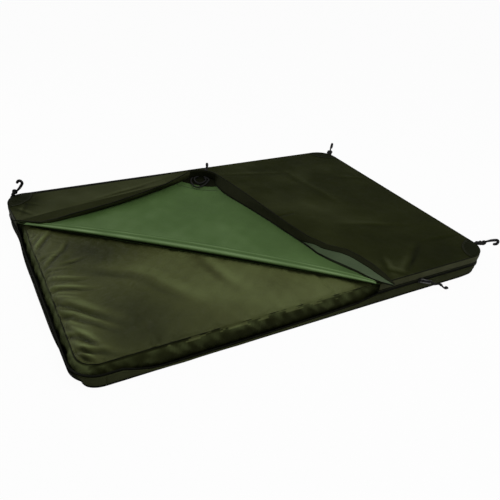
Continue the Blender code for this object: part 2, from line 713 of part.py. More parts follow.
def build_corner_hook(name, signs, arc, lay, tilt):
    """One corner's patch, tab, elastic loop and hook. Returns the pieces that stay and the hook's axis."""
    centre = Vector((signs[0] * (LENGTH / 2 - CORNER_RADIUS), signs[1] * (WIDTH / 2 - CORNER_RADIUS), 0))
    outward = Vector((math.cos(arc), math.sin(arc), 0))
    place_at = centre + outward * (CORNER_RADIUS + TAB_REACH) + UP * (HEIGHT - TAB_DEPTH_BELOW_TOP)
    tab, cutters = build_tab(name, lay - arc)
    at_corner = Matrix.Translation(place_at) @ Matrix.Rotation(arc, 4, "Z")
    for piece in (tab, *cutters):
        piece.matrix_world = at_corner @ piece.matrix_world
    turned = Quaternion(UP, lay) @ Quaternion(BACK, -tilt)
    axis = add_axis(f"hook_axis_{name}", place_at, turned)
    hook, eye = build_hook(name)
    for piece in (build_elastic_loop(name), hook, eye):
        place(piece, Matrix(), axis)
    return [build_patch(name, signs), tab, *cutters], axis


def build_hooks(hinge):
    for name, lay in HOOK_LAYS.items():
        staying, axis = build_corner_hook(name, *lay)
        if name == "folded_corner":
            for piece in staying:
                place(piece, Matrix.Translation(-hinge.location) @ piece.matrix_world, hinge)
            axis.location -= hinge.location
            axis.parent = hinge


def main():
    clear_scene()
    build_tray()
    build_mat()
    build_cover()
    build_zip_stops()
    hinge = build_folded_corner()
    slider_axis, crossbar_y = build_slider()
    build_pull(slider_axis, crossbar_y)
    bpy.context.view_layer.update()
    build_hooks(hinge)
    hinge.rotation_quaternion = Quaternion(FOLD_DIRECTION, FOLD_ANGLE)
    bpy.context.view_layer.update()


main()
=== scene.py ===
"""Looks of the zip-up unhooking mat: cloth, padding, zip, hooks, light and camera.

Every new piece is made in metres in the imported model's own frame: X along the mat, -Y to the
front edge with the slider, +Z up. Cloth is made as grids that are shaped by functions of the
distance round the mat's outline and the distance in from its edge.
"""

from __future__ import annotations

import json
import logging
import math
from dataclasses import dataclass, field
from enum import Enum
from typing import Callable, Sequence

import bmesh
import bpy
import numpy as np
from mathutils import Matrix, Vector
from mathutils.kdtree import KDTree

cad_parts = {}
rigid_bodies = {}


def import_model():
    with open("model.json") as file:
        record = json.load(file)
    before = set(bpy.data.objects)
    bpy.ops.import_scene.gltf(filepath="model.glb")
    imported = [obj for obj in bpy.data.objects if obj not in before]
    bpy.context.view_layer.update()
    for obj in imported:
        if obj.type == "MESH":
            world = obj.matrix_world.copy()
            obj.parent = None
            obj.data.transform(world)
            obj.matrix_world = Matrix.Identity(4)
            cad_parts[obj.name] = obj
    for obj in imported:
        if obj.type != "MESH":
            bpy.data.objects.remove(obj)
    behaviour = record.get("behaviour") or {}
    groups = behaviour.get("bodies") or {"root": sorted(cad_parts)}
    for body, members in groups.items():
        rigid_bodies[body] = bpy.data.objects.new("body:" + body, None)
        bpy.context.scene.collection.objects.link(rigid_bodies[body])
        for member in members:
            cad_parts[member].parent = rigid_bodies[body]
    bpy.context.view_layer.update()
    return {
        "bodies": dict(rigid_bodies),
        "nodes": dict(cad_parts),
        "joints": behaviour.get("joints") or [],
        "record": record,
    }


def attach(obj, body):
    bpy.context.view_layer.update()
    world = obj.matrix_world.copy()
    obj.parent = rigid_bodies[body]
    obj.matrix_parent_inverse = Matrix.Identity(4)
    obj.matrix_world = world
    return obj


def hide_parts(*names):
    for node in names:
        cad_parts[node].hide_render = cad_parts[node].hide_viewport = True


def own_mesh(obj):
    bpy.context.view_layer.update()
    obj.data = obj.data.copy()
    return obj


LOG = logging.getLogger("unhooking_mat")

Shape = Callable[[np.ndarray, np.ndarray], np.ndarray]
Path = Callable[[np.ndarray], np.ndarray]
Socket = bpy.types.NodeSocket
Piece = bpy.types.Object
Colour = tuple[float, float, float]
Place = tuple[float, float, float]
Spot = tuple[float, float]

FIXED = "mat_and_cover"
FOLDED = "folded_corner"
# Layers of a mesh: the light and shade painted on its cloth, and its places on the flat cloth
PAINTED_LIGHT_LAYER = "paint_light_and_shade"
FLAT_MAP = "cloth"
UP: Place = (0.0, 0.0, 1.0)
# A small step along a path, as a share of it, for the path's direction
STEP = 1e-4
# Distances round the outline: the zip's ends, and the stretch of it on the corner that folds
ZIP_START, ZIP_END = 2.9026, 5.3112
FOLD_START, FOLD_END = 2.9828, 4.2768
# What a strip of the zip leaves free at the fold, and what a cut cloth leaves free there
FOLD_GAP = 0.0002
CUT_GAP = 0.00015


class Weave(Enum):
    """Which coordinates a cloth's threads follow."""

    CLOTH = "UV"
    OBJECT = "Object"


class Side(Enum):
    """Which side of the fold a piece of the cover keeps."""

    FIXED = -1
    FOLDED = 1
    BOTH = 0


# --------------------------------------------------------------------------------------
# Materials
# --------------------------------------------------------------------------------------


class NodeBoard:
    """A material's node tree, with short calls to add and join nodes."""

    def __init__(self, name: str) -> None:
        """Makes an empty material.

        Args:
            name: The material's name.
        """
        self.material = bpy.data.materials.new(name)
        self.material.use_nodes = True
        self.tree = self.material.node_tree
        self.shader = self.tree.nodes["Principled BSDF"]

    def add(self, kind: str, **settings: object) -> bpy.types.Node:
        """Adds a node.

        Args:
            kind: The node's type, without its ShaderNode prefix.
            **settings: Values set on the node itself.

        Returns:
            The new node.
        """
        node = self.tree.nodes.new(f"ShaderNode{kind}")
        for key, value in settings.items():
            setattr(node, key, value)
        return node

    def link(self, output: Socket, target: Socket) -> None:
        """Joins an output to an input."""
        self.tree.links.new(output, target)

    def coordinates(self, weave: Weave) -> Socket:
        """The coordinates that a pattern follows."""
        return self.add("TexCoord").outputs[weave.value]

    def noise(self, source: Socket, scale: float, detail: float = 3.0) -> Socket:
        """Adds a noise pattern.

        Args:
            source: The coordinates.
            scale: Its fineness, in patches a metre.
            detail: Its levels of finer detail.

        Returns:
            The pattern's value.
        """
        node = self.add("TexNoise")
        node.inputs["Scale"].default_value = scale
        node.inputs["Detail"].default_value = detail
        node.inputs["Roughness"].default_value = 0.55
        self.link(source, node.inputs["Vector"])
        return node.outputs["Fac"]

    def bands(self, source: Socket, pitch: float, direction: str) -> Socket:
        """Adds smooth bands, such as threads.

        Args:
            source: The coordinates.
            pitch: The distance from band to band, in metres.
            direction: X, Y, Z or DIAGONAL.

        Returns:
            The bands' value.
        """
        node = self.add("TexWave", bands_direction=direction)
        node.inputs["Scale"].default_value = math.pi / 10 / pitch
        self.link(source, node.inputs["Vector"])
        return node.outputs["Fac"]

    def maths(self, operation: str, first: object, second: object = 0.5) -> Socket:
        """Adds a sum on two values, each a socket or a number.

        Args:
            operation: The Math node's operation.
            first: The first value.
            second: The second value.

        Returns:
            The result.
        """
        node = self.add("Math", operation=operation)
        for socket, value in zip(node.inputs, (first, second)):
            if isinstance(value, (int, float)):
                socket.default_value = value
            else:
                self.link(value, socket)
        return node.outputs[0]

    def spread(self, source: Socket, low: float, high: float, to: Spot = (0.0, 1.0)) -> Socket:
        """Stretches a value's range.

        Args:
            source: The value.
            low: What becomes the new range's start.
            high: What becomes the new range's end.
            to: The new range.

        Returns:
            The stretched value.
        """
        node = self.add("MapRange")
        for name, value in zip(("From Min", "From Max", "To Min", "To Max"), (low, high, *to)):
            node.inputs[name].default_value = value
        self.link(source, node.inputs["Value"])
        return node.outputs["Result"]

    def set(self, **values: object) -> None:
        """Gives sockets of the shader constant values, each named with _ for a space."""
        for name, value in values.items():
            self.shader.inputs[name.replace("_", " ")].default_value = value

    def blend(self, amount: Socket, first: object, second: object) -> Socket:
        """Mixes two colours, each a socket or three numbers.

        Args:
            amount: How much of the second there is.
            first: The first colour.
            second: The second colour.

        Returns:
            The mixed colour.
        """
        node = self.add("Mix", data_type="RGBA")
        self.link(amount, node.inputs["Factor"])
        for socket, value in ((node.inputs[6], first), (node.inputs[7], second)):
            if isinstance(value, tuple):
                socket.default_value = (*value, 1.0)
            else:
                self.link(value, socket)
        return node.outputs[2]

    def bump(self, height: Socket, distance: float, under: Socket | None = None) -> Socket:
        """Adds a bump.

        Args:
            height: The bump's height, from 0 to 1.
            distance: What a height of 1 stands for, in metres.
            under: The normal that the bump lies on.

        Returns:
            The bumped normal.
        """
        node = self.add("Bump")
        node.inputs["Distance"].default_value = distance
        self.link(height, node.inputs["Height"])
        if under:
            self.link(under, node.inputs["Normal"])
        return node.outputs["Normal"]


@dataclass(frozen=True)
class ClothFinish:
    """Woven nylon or polyester: threads, patchy dye, soft crumples, and painted highlights and shade where a mesh
    carries them.
    """

    name: str
    colour: Colour
    toned: Colour
    roughness: float = 0.5
    thread: float = 0.0007
    thread_depth: float = 0.00012
    crumple_scale: float = 28.0
    crumple_depth: float = 0.0016
    specular: float = 0.14
    tint: Colour = (0.86, 0.95, 0.62)
    weave: Weave = Weave.CLOTH
    # The colour that painted highlights blend to; painted shade darkens the cloth towards a quarter of its colour
    painted_highlight: Colour | None = None

    def make(self) -> bpy.types.Material:
        """Builds the material."""
        board = NodeBoard(self.name)
        cloth = board.coordinates(self.weave)
        place = board.coordinates(Weave.OBJECT)
        warp = board.bands(cloth, self.thread, "X")
        weft = board.bands(cloth, self.thread, "Y")
        if self.weave is Weave.OBJECT:
            weft = board.maths("ADD", weft, board.bands(cloth, self.thread, "Z"))
        threads = board.maths("MULTIPLY", board.maths("ADD", warp, weft), 0.5)
        patches = board.spread(board.noise(place, 7.0, 5.0), 0.35, 0.7)
        dye_and_painted_light = board.blend(patches, self.colour, self.toned)
        # Painted light and shade from the mesh's layer: above 0 towards the highlight colour, below 0 towards a
        # quarter of the colour
        if self.painted_highlight:
            paint_light_and_shade = board.add("Attribute", attribute_name=PAINTED_LIGHT_LAYER).outputs["Fac"]
            dye_and_painted_light = board.blend(board.spread(paint_light_and_shade, 0.0, 1.0), dye_and_painted_light, self.painted_highlight)
            dye_and_painted_light = board.blend(board.spread(paint_light_and_shade, 0.0, -1.0), dye_and_painted_light, tuple(0.25 * part for part in self.colour))
        dark = tuple(0.62 * part for part in self.colour)
        shade = board.spread(threads, 0.0, 1.0, (0.35, 0.0))
        board.link(board.blend(shade, dye_and_painted_light, dark), board.shader.inputs["Base Color"])
        crumples = board.noise(place, self.crumple_scale, 4.0)
        normal = board.bump(crumples, self.crumple_depth)
        board.link(board.bump(threads, self.thread_depth, normal), board.shader.inputs["Normal"])
        rough = board.spread(board.noise(place, 40.0), 0.3, 0.75, (self.roughness - 0.05, self.roughness + 0.07))
        board.link(rough, board.shader.inputs["Roughness"])
        board.set(Specular_IOR_Level=self.specular, Specular_Tint=(*self.tint, 1.0))
        return board.material


@dataclass(frozen=True)
class HardFinish:
    """Moulded plastic or plated metal, with fine scuffs."""

    name: str
    colour: Colour
    scuffed: Colour
    roughness: float
    metallic: float = 0.0
    grain: float = 260.0
    grain_depth: float = 0.00005
    specular: float = 0.2

    def make(self) -> bpy.types.Material:
        """Builds the material."""
        board = NodeBoard(self.name)
        place = board.coordinates(Weave.OBJECT)
        scuffs = board.spread(board.noise(place, 90.0, 6.0), 0.52, 0.72)
        board.link(board.blend(scuffs, self.colour, self.scuffed), board.shader.inputs["Base Color"])
        rough = board.spread(scuffs, 0.0, 1.0, (self.roughness, self.roughness + 0.18))
        board.link(rough, board.shader.inputs["Roughness"])
        grain = board.noise(place, self.grain * 10, 3.0)
        board.link(board.bump(grain, self.grain_depth), board.shader.inputs["Normal"])
        board.set(Metallic=self.metallic, Specular_IOR_Level=self.specular)
        return board.material


@dataclass(frozen=True)
class CordFinish:
    """Braided cord or ribbed webbing: slanting strands that cross."""

    name: str
    colour: Colour
    toned: Colour
    strand: float = 0.0011
    depth: float = 0.00025

    def make(self) -> bpy.types.Material:
        """Builds the material."""
        board = NodeBoard(self.name)
        place = board.coordinates(Weave.OBJECT)
        over = board.bands(place, self.strand, "DIAGONAL")
        under = board.bands(place, self.strand * 0.83, "X")
        strands = board.maths("MULTIPLY", board.maths("ADD", over, under), 0.5)
        fuzz = board.noise(place, 420.0, 2.0)
        tone = board.maths("MULTIPLY", strands, fuzz)
        board.link(board.blend(tone, self.colour, self.toned), board.shader.inputs["Base Color"])
        board.link(board.bump(strands, self.depth), board.shader.inputs["Normal"])
        board.set(Roughness=0.72, Specular_IOR_Level=0.2)
        return board.material


class Finishes:
    """Every finish of the mat, made once and handed out by name."""

    # The colour given last to a cloth finish is the colour of the sheen and highlights painted on it
    COVER = ClothFinish(
        "cover_nylon", (0.0128, 0.0154, 0.0032), (0.0178, 0.0210, 0.0050), roughness=0.5, specular=0.025,
        painted_highlight=(0.0600, 0.0680, 0.0290),
    )
    COVER_WALL = ClothFinish(
        "cover_wall_nylon", (0.0262, 0.0288, 0.0108), (0.0345, 0.0380, 0.0150), roughness=0.55, specular=0.04,
        painted_highlight=(0.0850, 0.0900, 0.0450),
    )
    TRAY = ClothFinish(
        "tray_nylon", (0.0190, 0.0218, 0.0080), (0.0255, 0.0292, 0.0110), roughness=0.6, specular=0.03,
        painted_highlight=(0.0500, 0.0560, 0.0240),
    )
    TRAY_BASE = ClothFinish(
        "tray_base_nylon", (0.012, 0.013, 0.008), (0.017, 0.018, 0.011), roughness=0.6, weave=Weave.OBJECT
    )
    TRAY_BOTTOM = ClothFinish(
        "tray_bottom_cloth", (0.012, 0.013, 0.008), (0.017, 0.018, 0.011), roughness=0.6, thread=0.0011
    )
    BINDING = ClothFinish(
        "binding_tape", (0.0042, 0.0046, 0.0032), (0.0075, 0.0082, 0.0056), roughness=0.65, thread=0.0011,
        specular=0.05,
    )
    MAT = ClothFinish(
        "mat_nylon", (0.0520, 0.0580, 0.0185), (0.0620, 0.0700, 0.0225), roughness=0.42, crumple_depth=0.0018,
        specular=0.11, painted_highlight=(0.1350, 0.1650, 0.0600),
    )
    # A darker copy of the mat's cloth, for its sides: painted shade
    MAT_SIDE_SHADED = ClothFinish(
        "mat_side_nylon_shaded", (0.0150, 0.0174, 0.0052), (0.0205, 0.0234, 0.0074), roughness=0.5, crumple_depth=0.0018,
        specular=0.04, painted_highlight=(0.1100, 0.1350, 0.0520),
    )
    LINING = ClothFinish(
        "lining_nylon", (0.0580, 0.1080, 0.0310), (0.0710, 0.1280, 0.0400), roughness=0.44, crumple_depth=0.0010,
        specular=0.09, painted_highlight=(0.2000, 0.3000, 0.1350),
    )
    LINING_HIDDEN = ClothFinish(
        "lining_nylon_hidden", (0.0480, 0.0900, 0.0290), (0.0620, 0.1080, 0.0380), weave=Weave.OBJECT
    )
    FLAP_TAPE = ClothFinish(
        "flap_tape", (0.0075, 0.0088, 0.0030), (0.0112, 0.0126, 0.0048), roughness=0.65, specular=0.05
    )
    WALL_INSIDE = ClothFinish(
        "wall_inside_coating", (0.0420, 0.0640, 0.0310), (0.0720, 0.1000, 0.0540), roughness=0.45, specular=0.06
    )
    # The patch inside the folded corner, dark enough to stand in for the shade in the corner's hollow as well:
    # partly painted shade
    INNER_PATCH_SHADED = ClothFinish(
        "inner_patch_cloth", (0.0042, 0.0048, 0.0020), (0.0075, 0.0084, 0.0038), roughness=0.65, specular=0.03
    )
    TAPE = ClothFinish(
        "zip_tape", (0.0045, 0.0052, 0.0024), (0.0075, 0.0086, 0.0040), roughness=0.65, thread=0.0012,
        thread_depth=0.0002, specular=0.05, weave=Weave.OBJECT,
    )
    PATCH = ClothFinish(
        "patch_cloth", (0.0070, 0.0084, 0.0030), (0.0110, 0.0128, 0.0048), roughness=0.6, thread=0.0012,
        thread_depth=0.0002, specular=0.03,
    )
    FOAM = ClothFinish(
        "foam", (0.30, 0.31, 0.28), (0.36, 0.36, 0.33), roughness=0.9, thread=0.0016, weave=Weave.OBJECT
    )
    THREAD = CordFinish("sewing_thread", (0.030, 0.032, 0.020), (0.055, 0.058, 0.036), strand=0.0006)
    WEBBING = CordFinish("ribbed_webbing", (0.005, 0.005, 0.0045), (0.012, 0.012, 0.011), strand=0.0014)
    ELASTIC = CordFinish("braided_elastic", (0.004, 0.004, 0.0035), (0.012, 0.012, 0.011))
    TEETH = HardFinish("zip_teeth", (0.0050, 0.0054, 0.0030), (0.0105, 0.0115, 0.0066), 0.55, specular=0.08)
    # A lighter copy of the teeth, for the closed stretch on the right: painted light; the teeth in shade keep the
    # dark finish
    TEETH_LIT = HardFinish("zip_teeth_lit", (0.0210, 0.0235, 0.0110), (0.0320, 0.0350, 0.0175), 0.55, specular=0.08)
    PLASTIC = HardFinish("black_plastic", (0.0035, 0.0035, 0.0038), (0.0090, 0.0090, 0.0095), 0.42)
    DARK_METAL = HardFinish("black_plated_metal", (0.010, 0.010, 0.009), (0.10, 0.10, 0.095), 0.35, metallic=0.6)
    METAL = HardFinish(
        "dark_plated_metal", (0.13, 0.13, 0.125), (0.42, 0.42, 0.41), 0.30, metallic=1.0, specular=0.5
    )

    BY_SLOT = {
        "cover_cloth": TRAY_BASE, "tray_cloth": TRAY_BASE, "mat_cloth": LINING_HIDDEN,
        "lining_cloth": LINING_HIDDEN, "foam": FOAM, "zip_black": TAPE, "zip_metal": METAL,
        "patch_cloth": TAPE, "webbing": WEBBING, "elastic": ELASTIC, "hook_plastic": PLASTIC,
    }

    def __init__(self) -> None:
        """Starts with nothing made."""
        self.made: dict[str, bpy.types.Material] = {}

    def get(self, finish: ClothFinish | HardFinish | CordFinish) -> bpy.types.Material:
        """The finish's material, made when it is first asked for."""
        if finish.name not in self.made:
            self.made[finish.name] = finish.make()
        return self.made[finish.name]


# --------------------------------------------------------------------------------------
# The mat's plan, its unevenness and its cloth
# --------------------------------------------------------------------------------------


def ease(value: np.ndarray) -> np.ndarray:
    """Goes smoothly from 0 to 1 as the value does, and stays there."""
    held = np.clip(value, 0, 1)
    return held * held * (3 - 2 * held)


def hump(away: np.ndarray | float, width: np.ndarray | float) -> np.ndarray:
    """1 in the middle of a soft hump, falling to nearly 0 at twice its width away."""
    return np.exp(-((away / width) ** 2))


@dataclass(frozen=True)
class Outline:
    """The mat's plan: a rectangle with round corners, walked anticlockwise from the front left."""

    length: float = 1.10
    width: float = 0.76
    radius: float = 0.06
    # Where the edge is drawn in by the fold, how far, and over what length
    draw_middle: float = 2.985
    draw_depth: float = 0.0055
    draw_reach: float = 0.062
    # Height that the tray's wall sinks to, and what it keeps of its height at distances round
    foot: float = 0.0016
    kept: tuple[Spot, ...] = (
        (0.035, 1.0), (0.060, 0.62), (0.090, 0.30), (0.120, 0.16), (0.200, 0.14), (0.320, 0.20), (0.420, 0.30),
        (0.520, 0.38), (0.600, 0.52), (0.640, 0.82), (0.660, 1.0),
    )

    @property
    def half(self) -> Spot:
        """Half the plan's length and half its width."""
        return self.length / 2, self.width / 2

    @property
    def straight(self) -> Spot:
        """The straight runs' lengths, along X and along Y."""
        return self.length - 2 * self.radius, self.width - 2 * self.radius

    @property
    def around(self) -> float:
        """The distance once round the plan."""
        return 2 * sum(self.straight) + 2 * math.pi * self.radius

    def walk(self, along: np.ndarray, inset: np.ndarray | float = 0.0) -> tuple[np.ndarray, np.ndarray]:
        """Places on the outline.

        Args:
            along: Distances round the outline.
            inset: How far inside the outline each place lies.

        Returns:
            The places and the outward directions there, as rows of x and y.
        """
        long_run, short_run = self.straight
        arc = math.pi * self.radius / 2
        runs = (long_run, arc, short_run, arc) * 2
        ends = np.cumsum(runs)
        along = np.mod(np.asarray(along, float), self.around)
        stretch = np.clip(np.searchsorted(ends, along, side="right"), 0, 7)
        into = along - (ends - runs)[stretch]
        side = stretch // 2
        turn = side * math.pi / 2 - math.pi / 2
        turn = turn + np.where(stretch % 2 == 1, into / self.radius, 0.0)
        normal = np.stack([np.cos(turn), np.sin(turn)], axis=-1)
        centre = np.array([long_run / 2, short_run / 2])
        signs = np.array([[1, -1], [1, 1], [-1, 1], [-1, -1]])[side]
        place = signs * centre + normal * self.radius
        tangent = np.stack([-normal[:, 1], normal[:, 0]], axis=-1)
        run = np.array(runs)[stretch]
        back = np.where(stretch % 2 == 0, into - run, 0.0)
        place = place + tangent * back[:, None]
        drawn = self.draw_depth * hump(along - self.draw_middle, self.draw_reach)
        return place - normal * (np.asarray(inset, float) + drawn)[:, None], normal

    def edge_distance(self, x: np.ndarray, y: np.ndarray) -> np.ndarray:
        """How far inside the outline each place is."""
        over_x = np.abs(x) - self.straight[0] / 2
        over_y = np.abs(y) - self.straight[1] / 2
        outside = np.hypot(np.maximum(over_x, 0), np.maximum(over_y, 0))
        return self.radius - outside - np.minimum(np.maximum(over_x, over_y), 0)

    def upright(self, along: np.ndarray) -> np.ndarray:
        """How much of its height the tray's wall keeps: in front, where the zip is open, it sinks."""
        return np.interp(np.mod(along, self.around), *np.array(self.kept).T)

    def sunk(self, along: np.ndarray, height: np.ndarray | float) -> np.ndarray:
        """A height on the tray's wall after it has sunk."""
        return self.foot + (height - self.foot) * self.upright(along)

    def cover(self, along: np.ndarray, share: np.ndarray, inset: np.ndarray | float = 0.0) -> np.ndarray:
        """Places on the whole plan, from its edge in to the line down its middle.

        Args:
            along: Distances round the outline.
            share: 0 at the edge, 1 at the middle line.
            inset: How far inside the outline the edge lies.

        Returns:
            The places, as rows of x and y.
        """
        return self.inward(self.walk(along, inset)[0], share)

    def inward(self, edge: np.ndarray, share: np.ndarray) -> np.ndarray:
        """Places at a share of the way from the edge in to the line down the middle."""
        reach = (self.length - self.width) / 2
        middle = np.stack([np.clip(edge[:, 0], -reach, reach), np.zeros(len(edge))], axis=-1)
        return edge + (middle - edge) * share[:, None]

    def sheet(self, u: np.ndarray, v: np.ndarray, inset: float = 0.0004) -> np.ndarray:
        """Places on the plan for shares round it and in from its edge, closest together at the edge."""
        return self.cover(u * self.around, v ** 1.7, inset)


@dataclass(frozen=True)
class Fold:
    """The line that the cover's corner is folded back on."""

    left: Spot = (-0.55, 0.22)
    front: Spot = (0.17, -0.38)
    height: float = 0.0587

    @property
    def direction(self) -> np.ndarray:
        """The fold's direction, from the left edge to the front edge."""
        run = np.subtract(self.front, self.left)
        return run / np.hypot(*run)

    @property
    def normal(self) -> np.ndarray:
        """The direction from the fold to the corner when it is closed."""
        return np.array([self.direction[1], -self.direction[0]])

    def past(self, x: np.ndarray, y: np.ndarray) -> np.ndarray:
        """How far each place lies past the fold, on the closed corner's side."""
        return (x - self.left[0]) * self.normal[0] + (y - self.left[1]) * self.normal[1]

    @property
    def length(self) -> float:
        """The fold's length from edge to edge."""
        return float(np.hypot(*np.subtract(self.front, self.left)))

    def turned(self, places: np.ndarray) -> np.ndarray:
        """Turns places on the closed corner back over the fold."""
        moved = places.copy()
        past = self.past(*places.T[:2])
        moved[:, :2] -= 2 * past[:, None] * self.normal
        moved[:, 2] = 2 * self.height - places[:, 2]
        return moved


@dataclass(frozen=True)
class Ripple:
    """A smooth unevenness that is the same on every run: a sum of slanting waves."""

    seed: int
    wavelength: float
    depth: float
    waves: int = 9

    def at(self, x: np.ndarray, y: np.ndarray) -> np.ndarray:
        """The height at each place, within about the depth either way.

        Args:
            x: Places along the first direction.
            y: Places along the second direction.

        Returns:
            The heights.
        """
        dice = np.random.default_rng(self.seed)
        total = np.zeros(np.shape(x))
        for _ in range(self.waves):
            angle, phase = dice.uniform(0, 2 * math.pi, 2)
            pace = 2 * math.pi / (self.wavelength * dice.uniform(0.65, 1.6))
            total += np.cos(pace * (np.cos(angle) * x + np.sin(angle) * y) + phase)
        return total * self.depth / math.sqrt(self.waves)


@dataclass(frozen=True)
class Crease:
    """A sharp line in cloth between two places: a ridge with a groove beside it."""

    start: Spot
    end: Spot
    width: float = 0.007
    depth: float = 0.0018

    def at(self, x: np.ndarray, y: np.ndarray) -> np.ndarray:
        """The height that the crease adds at each place."""
        run = np.subtract(self.end, self.start)
        length = float(np.hypot(*run))
        along = ((x - self.start[0]) * run[0] + (y - self.start[1]) * run[1]) / length
        across = ((y - self.start[1]) * run[0] - (x - self.start[0]) * run[1]) / length
        over = np.maximum(np.maximum(-along, along - length), 0)
        fade = hump(over, self.width * 1.5) * (0.35 + 0.65 * np.sin(np.pi * np.clip(along / length, 0, 1)))
        ridge = hump(across - 0.7 * self.width, 0.75 * self.width)
        groove = hump(across + 0.45 * self.width, 0.6 * self.width)
        return self.depth * fade * (0.75 * ridge - groove)


def stack(x: np.ndarray, y: np.ndarray, z: np.ndarray | float) -> np.ndarray:
    """Rows of x, y and z."""
    return np.stack([x, y, np.broadcast_to(z, np.shape(x))], axis=-1)


def strip_weave(length: float, width: float) -> Shape:
    """The flat cloth of a strip, for shares of its length and width."""
    return lambda u, v: np.stack([length * u, width * v], axis=-1)


def heading(turn: float) -> np.ndarray:
    """The level direction at a turn from X."""
    return np.array([math.cos(turn), math.sin(turn)])


def toned(
    total: np.ndarray, x: np.ndarray, y: np.ndarray, areas: Sequence[tuple[float, float, float, float]]
) -> np.ndarray:
    """Adds broad soft areas of painted light and shade to a total.

    Args:
        total: The painted light and shade so far at each place.
        x: Places along the mat.
        y: Places across the mat.
        areas: Each area's x, y, size and amount.

    Returns:
        The new total.
    """
    for across, back, size, amount in areas:
        total = total + amount * hump(np.hypot(x - across, y - back), size)
    return total


OUTLINE = Outline()
FOLD = Fold()


class ClothMaker:
    """Makes pieces of cloth from grids, and dresses every piece."""

    def __init__(self, finishes: Finishes) -> None:
        """Keeps the finishes.

        Args:
            finishes: The mat's finishes.
        """
        self.finishes = finishes

    def finish(
        self, piece: Piece, finish: object, slot: str, body: str, replaces: Sequence[str] = ()
    ) -> Piece:
        """Dresses a piece and hangs it on its body.

        Args:
            piece: The piece.
            finish: Its finish.
            slot: The record's material slot; not used.
            body: The body that it moves with.
            replaces: The CAD nodes that it stands for.

        Returns:
            The piece.
        """
        piece.data.materials.clear()
        piece.data.materials.append(self.finishes.get(finish))
        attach(piece, body)
        if replaces:
            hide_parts(*replaces)
        LOG.info("%s: %d faces on %s", piece.name, len(piece.data.polygons), body)
        return piece

    def from_form(self, name: str, form: bmesh.types.BMesh) -> Piece:
        """Makes a smooth object of a bmesh, and frees it."""
        mesh = bpy.data.meshes.new(name)
        form.to_mesh(mesh)
        form.free()
        mesh.shade_smooth()
        piece = bpy.data.objects.new(name, mesh)
        bpy.context.scene.collection.objects.link(piece)
        return piece

    def grid(
        self, name: str, columns: int, rows: int, shape: Shape, flat: Shape, side: Side = Side.BOTH,
        thickness: float = 0.0, closed: bool = False, turned: bool = False,
    ) -> Piece:
        """Makes a sheet from a grid.

        Args:
            name: The piece's name.
            columns: Faces along the first share.
            rows: Faces along the second share.
            shape: Places for shares from 0 to 1.
            flat: Places on the flat cloth in metres, for the weave.
            side: The side of the fold that is kept.
            thickness: The cloth's thickness, laid inwards from its outer face.
            closed: Whether edges that meet are joined.
            turned: Whether the sheet is turned back over the fold.

        Returns:
            The piece.
        """
        form = bmesh.new()
        layer = form.loops.layers.uv.new(FLAT_MAP)
        bmesh.ops.create_grid(form, x_segments=columns, y_segments=rows, size=0.5, calc_uvs=True)
        shares = np.array([vertex.co[:2] for vertex in form.verts]) + 0.5
        loops = [loop[layer] for face in form.faces for loop in face.loops]
        maps = np.array([loop.uv[:] for loop in loops])
        for loop, spot in zip(loops, flat(*maps.T)):
            loop.uv = spot
        for vertex, place in zip(form.verts, shape(*shares.T)):
            vertex.co = place
        if side is not Side.BOTH:
            aim = -side.value * FOLD.normal
            self.cut(form, np.subtract(FOLD.left, aim * CUT_GAP), aim)
        if closed:
            bmesh.ops.remove_doubles(form, verts=form.verts, dist=1e-5)
        if turned:
            moved = FOLD.turned(np.array([vertex.co[:] for vertex in form.verts]))
            for vertex, place in zip(form.verts, moved):
                vertex.co = place
        piece = self.from_form(name, form)
        if thickness:
            self.thicken(piece, thickness)
        return piece

    @staticmethod
    def paint_light_and_shade(piece: Piece, values: np.ndarray) -> None:
        """Writes the painted light (above 0) and painted shade (below 0) on the cloth at each vertex."""
        layer = piece.data.attributes.new(PAINTED_LIGHT_LAYER, "FLOAT", "POINT")
        layer.data.foreach_set("value", np.asarray(values, dtype=np.float32))

    @staticmethod
    def places(piece: Piece) -> np.ndarray:
        """The piece's vertices, as rows of x, y and z."""
        return np.array([vertex.co[:] for vertex in piece.data.vertices])

    @staticmethod
    def move(piece: Piece, places: np.ndarray) -> None:
        """Puts the piece's vertices at new places."""
        piece.data.vertices.foreach_set("co", places.ravel())
        piece.data.update()

    @staticmethod
    def rework(piece: Piece, *changes: Callable[[bmesh.types.BMesh], object]) -> None:
        """Changes a piece's mesh as a bmesh, one change after the other."""
        form = bmesh.new()
        form.from_mesh(piece.data)
        for change in changes:
            change(form)
        form.to_mesh(piece.data)
        form.free()

    @staticmethod
    def face_outward(form: bmesh.types.BMesh) -> None:
        """Turns a closed form's faces outward."""
        bmesh.ops.recalc_face_normals(form, faces=form.faces)

    def face(self, piece: Piece, toward: Place) -> None:
        """Turns a sheet's faces so that most of them look in a direction."""
        aim = Vector(toward)
        if sum(face.normal.dot(aim) * face.area for face in piece.data.polygons) < 0:
            self.rework(piece, lambda form: bmesh.ops.reverse_faces(form, faces=form.faces))

    @staticmethod
    def cut(form: bmesh.types.BMesh, spot: np.ndarray, aim: np.ndarray) -> None:
        """Cuts away what lies past an upright plane through a spot, in the direction of its aim."""
        bmesh.ops.bisect_plane(
            form, geom=form.verts[:] + form.edges[:] + form.faces[:], dist=1e-6, plane_co=(*spot, 0),
            plane_no=(*aim, 0), clear_outer=True,
        )

    def trim(self, piece: Piece, centre: np.ndarray, radius: float, ways: Sequence[np.ndarray]) -> None:
        """Cuts a piece back to a rounded line.

        Args:
            piece: The piece, which lies nearly level.
            centre: The line's centre.
            radius: Its radius.
            ways: The directions from the centre at which it is cut.
        """
        self.rework(piece, *(lambda form, aim=aim: self.cut(form, centre + aim * radius, aim) for aim in ways))

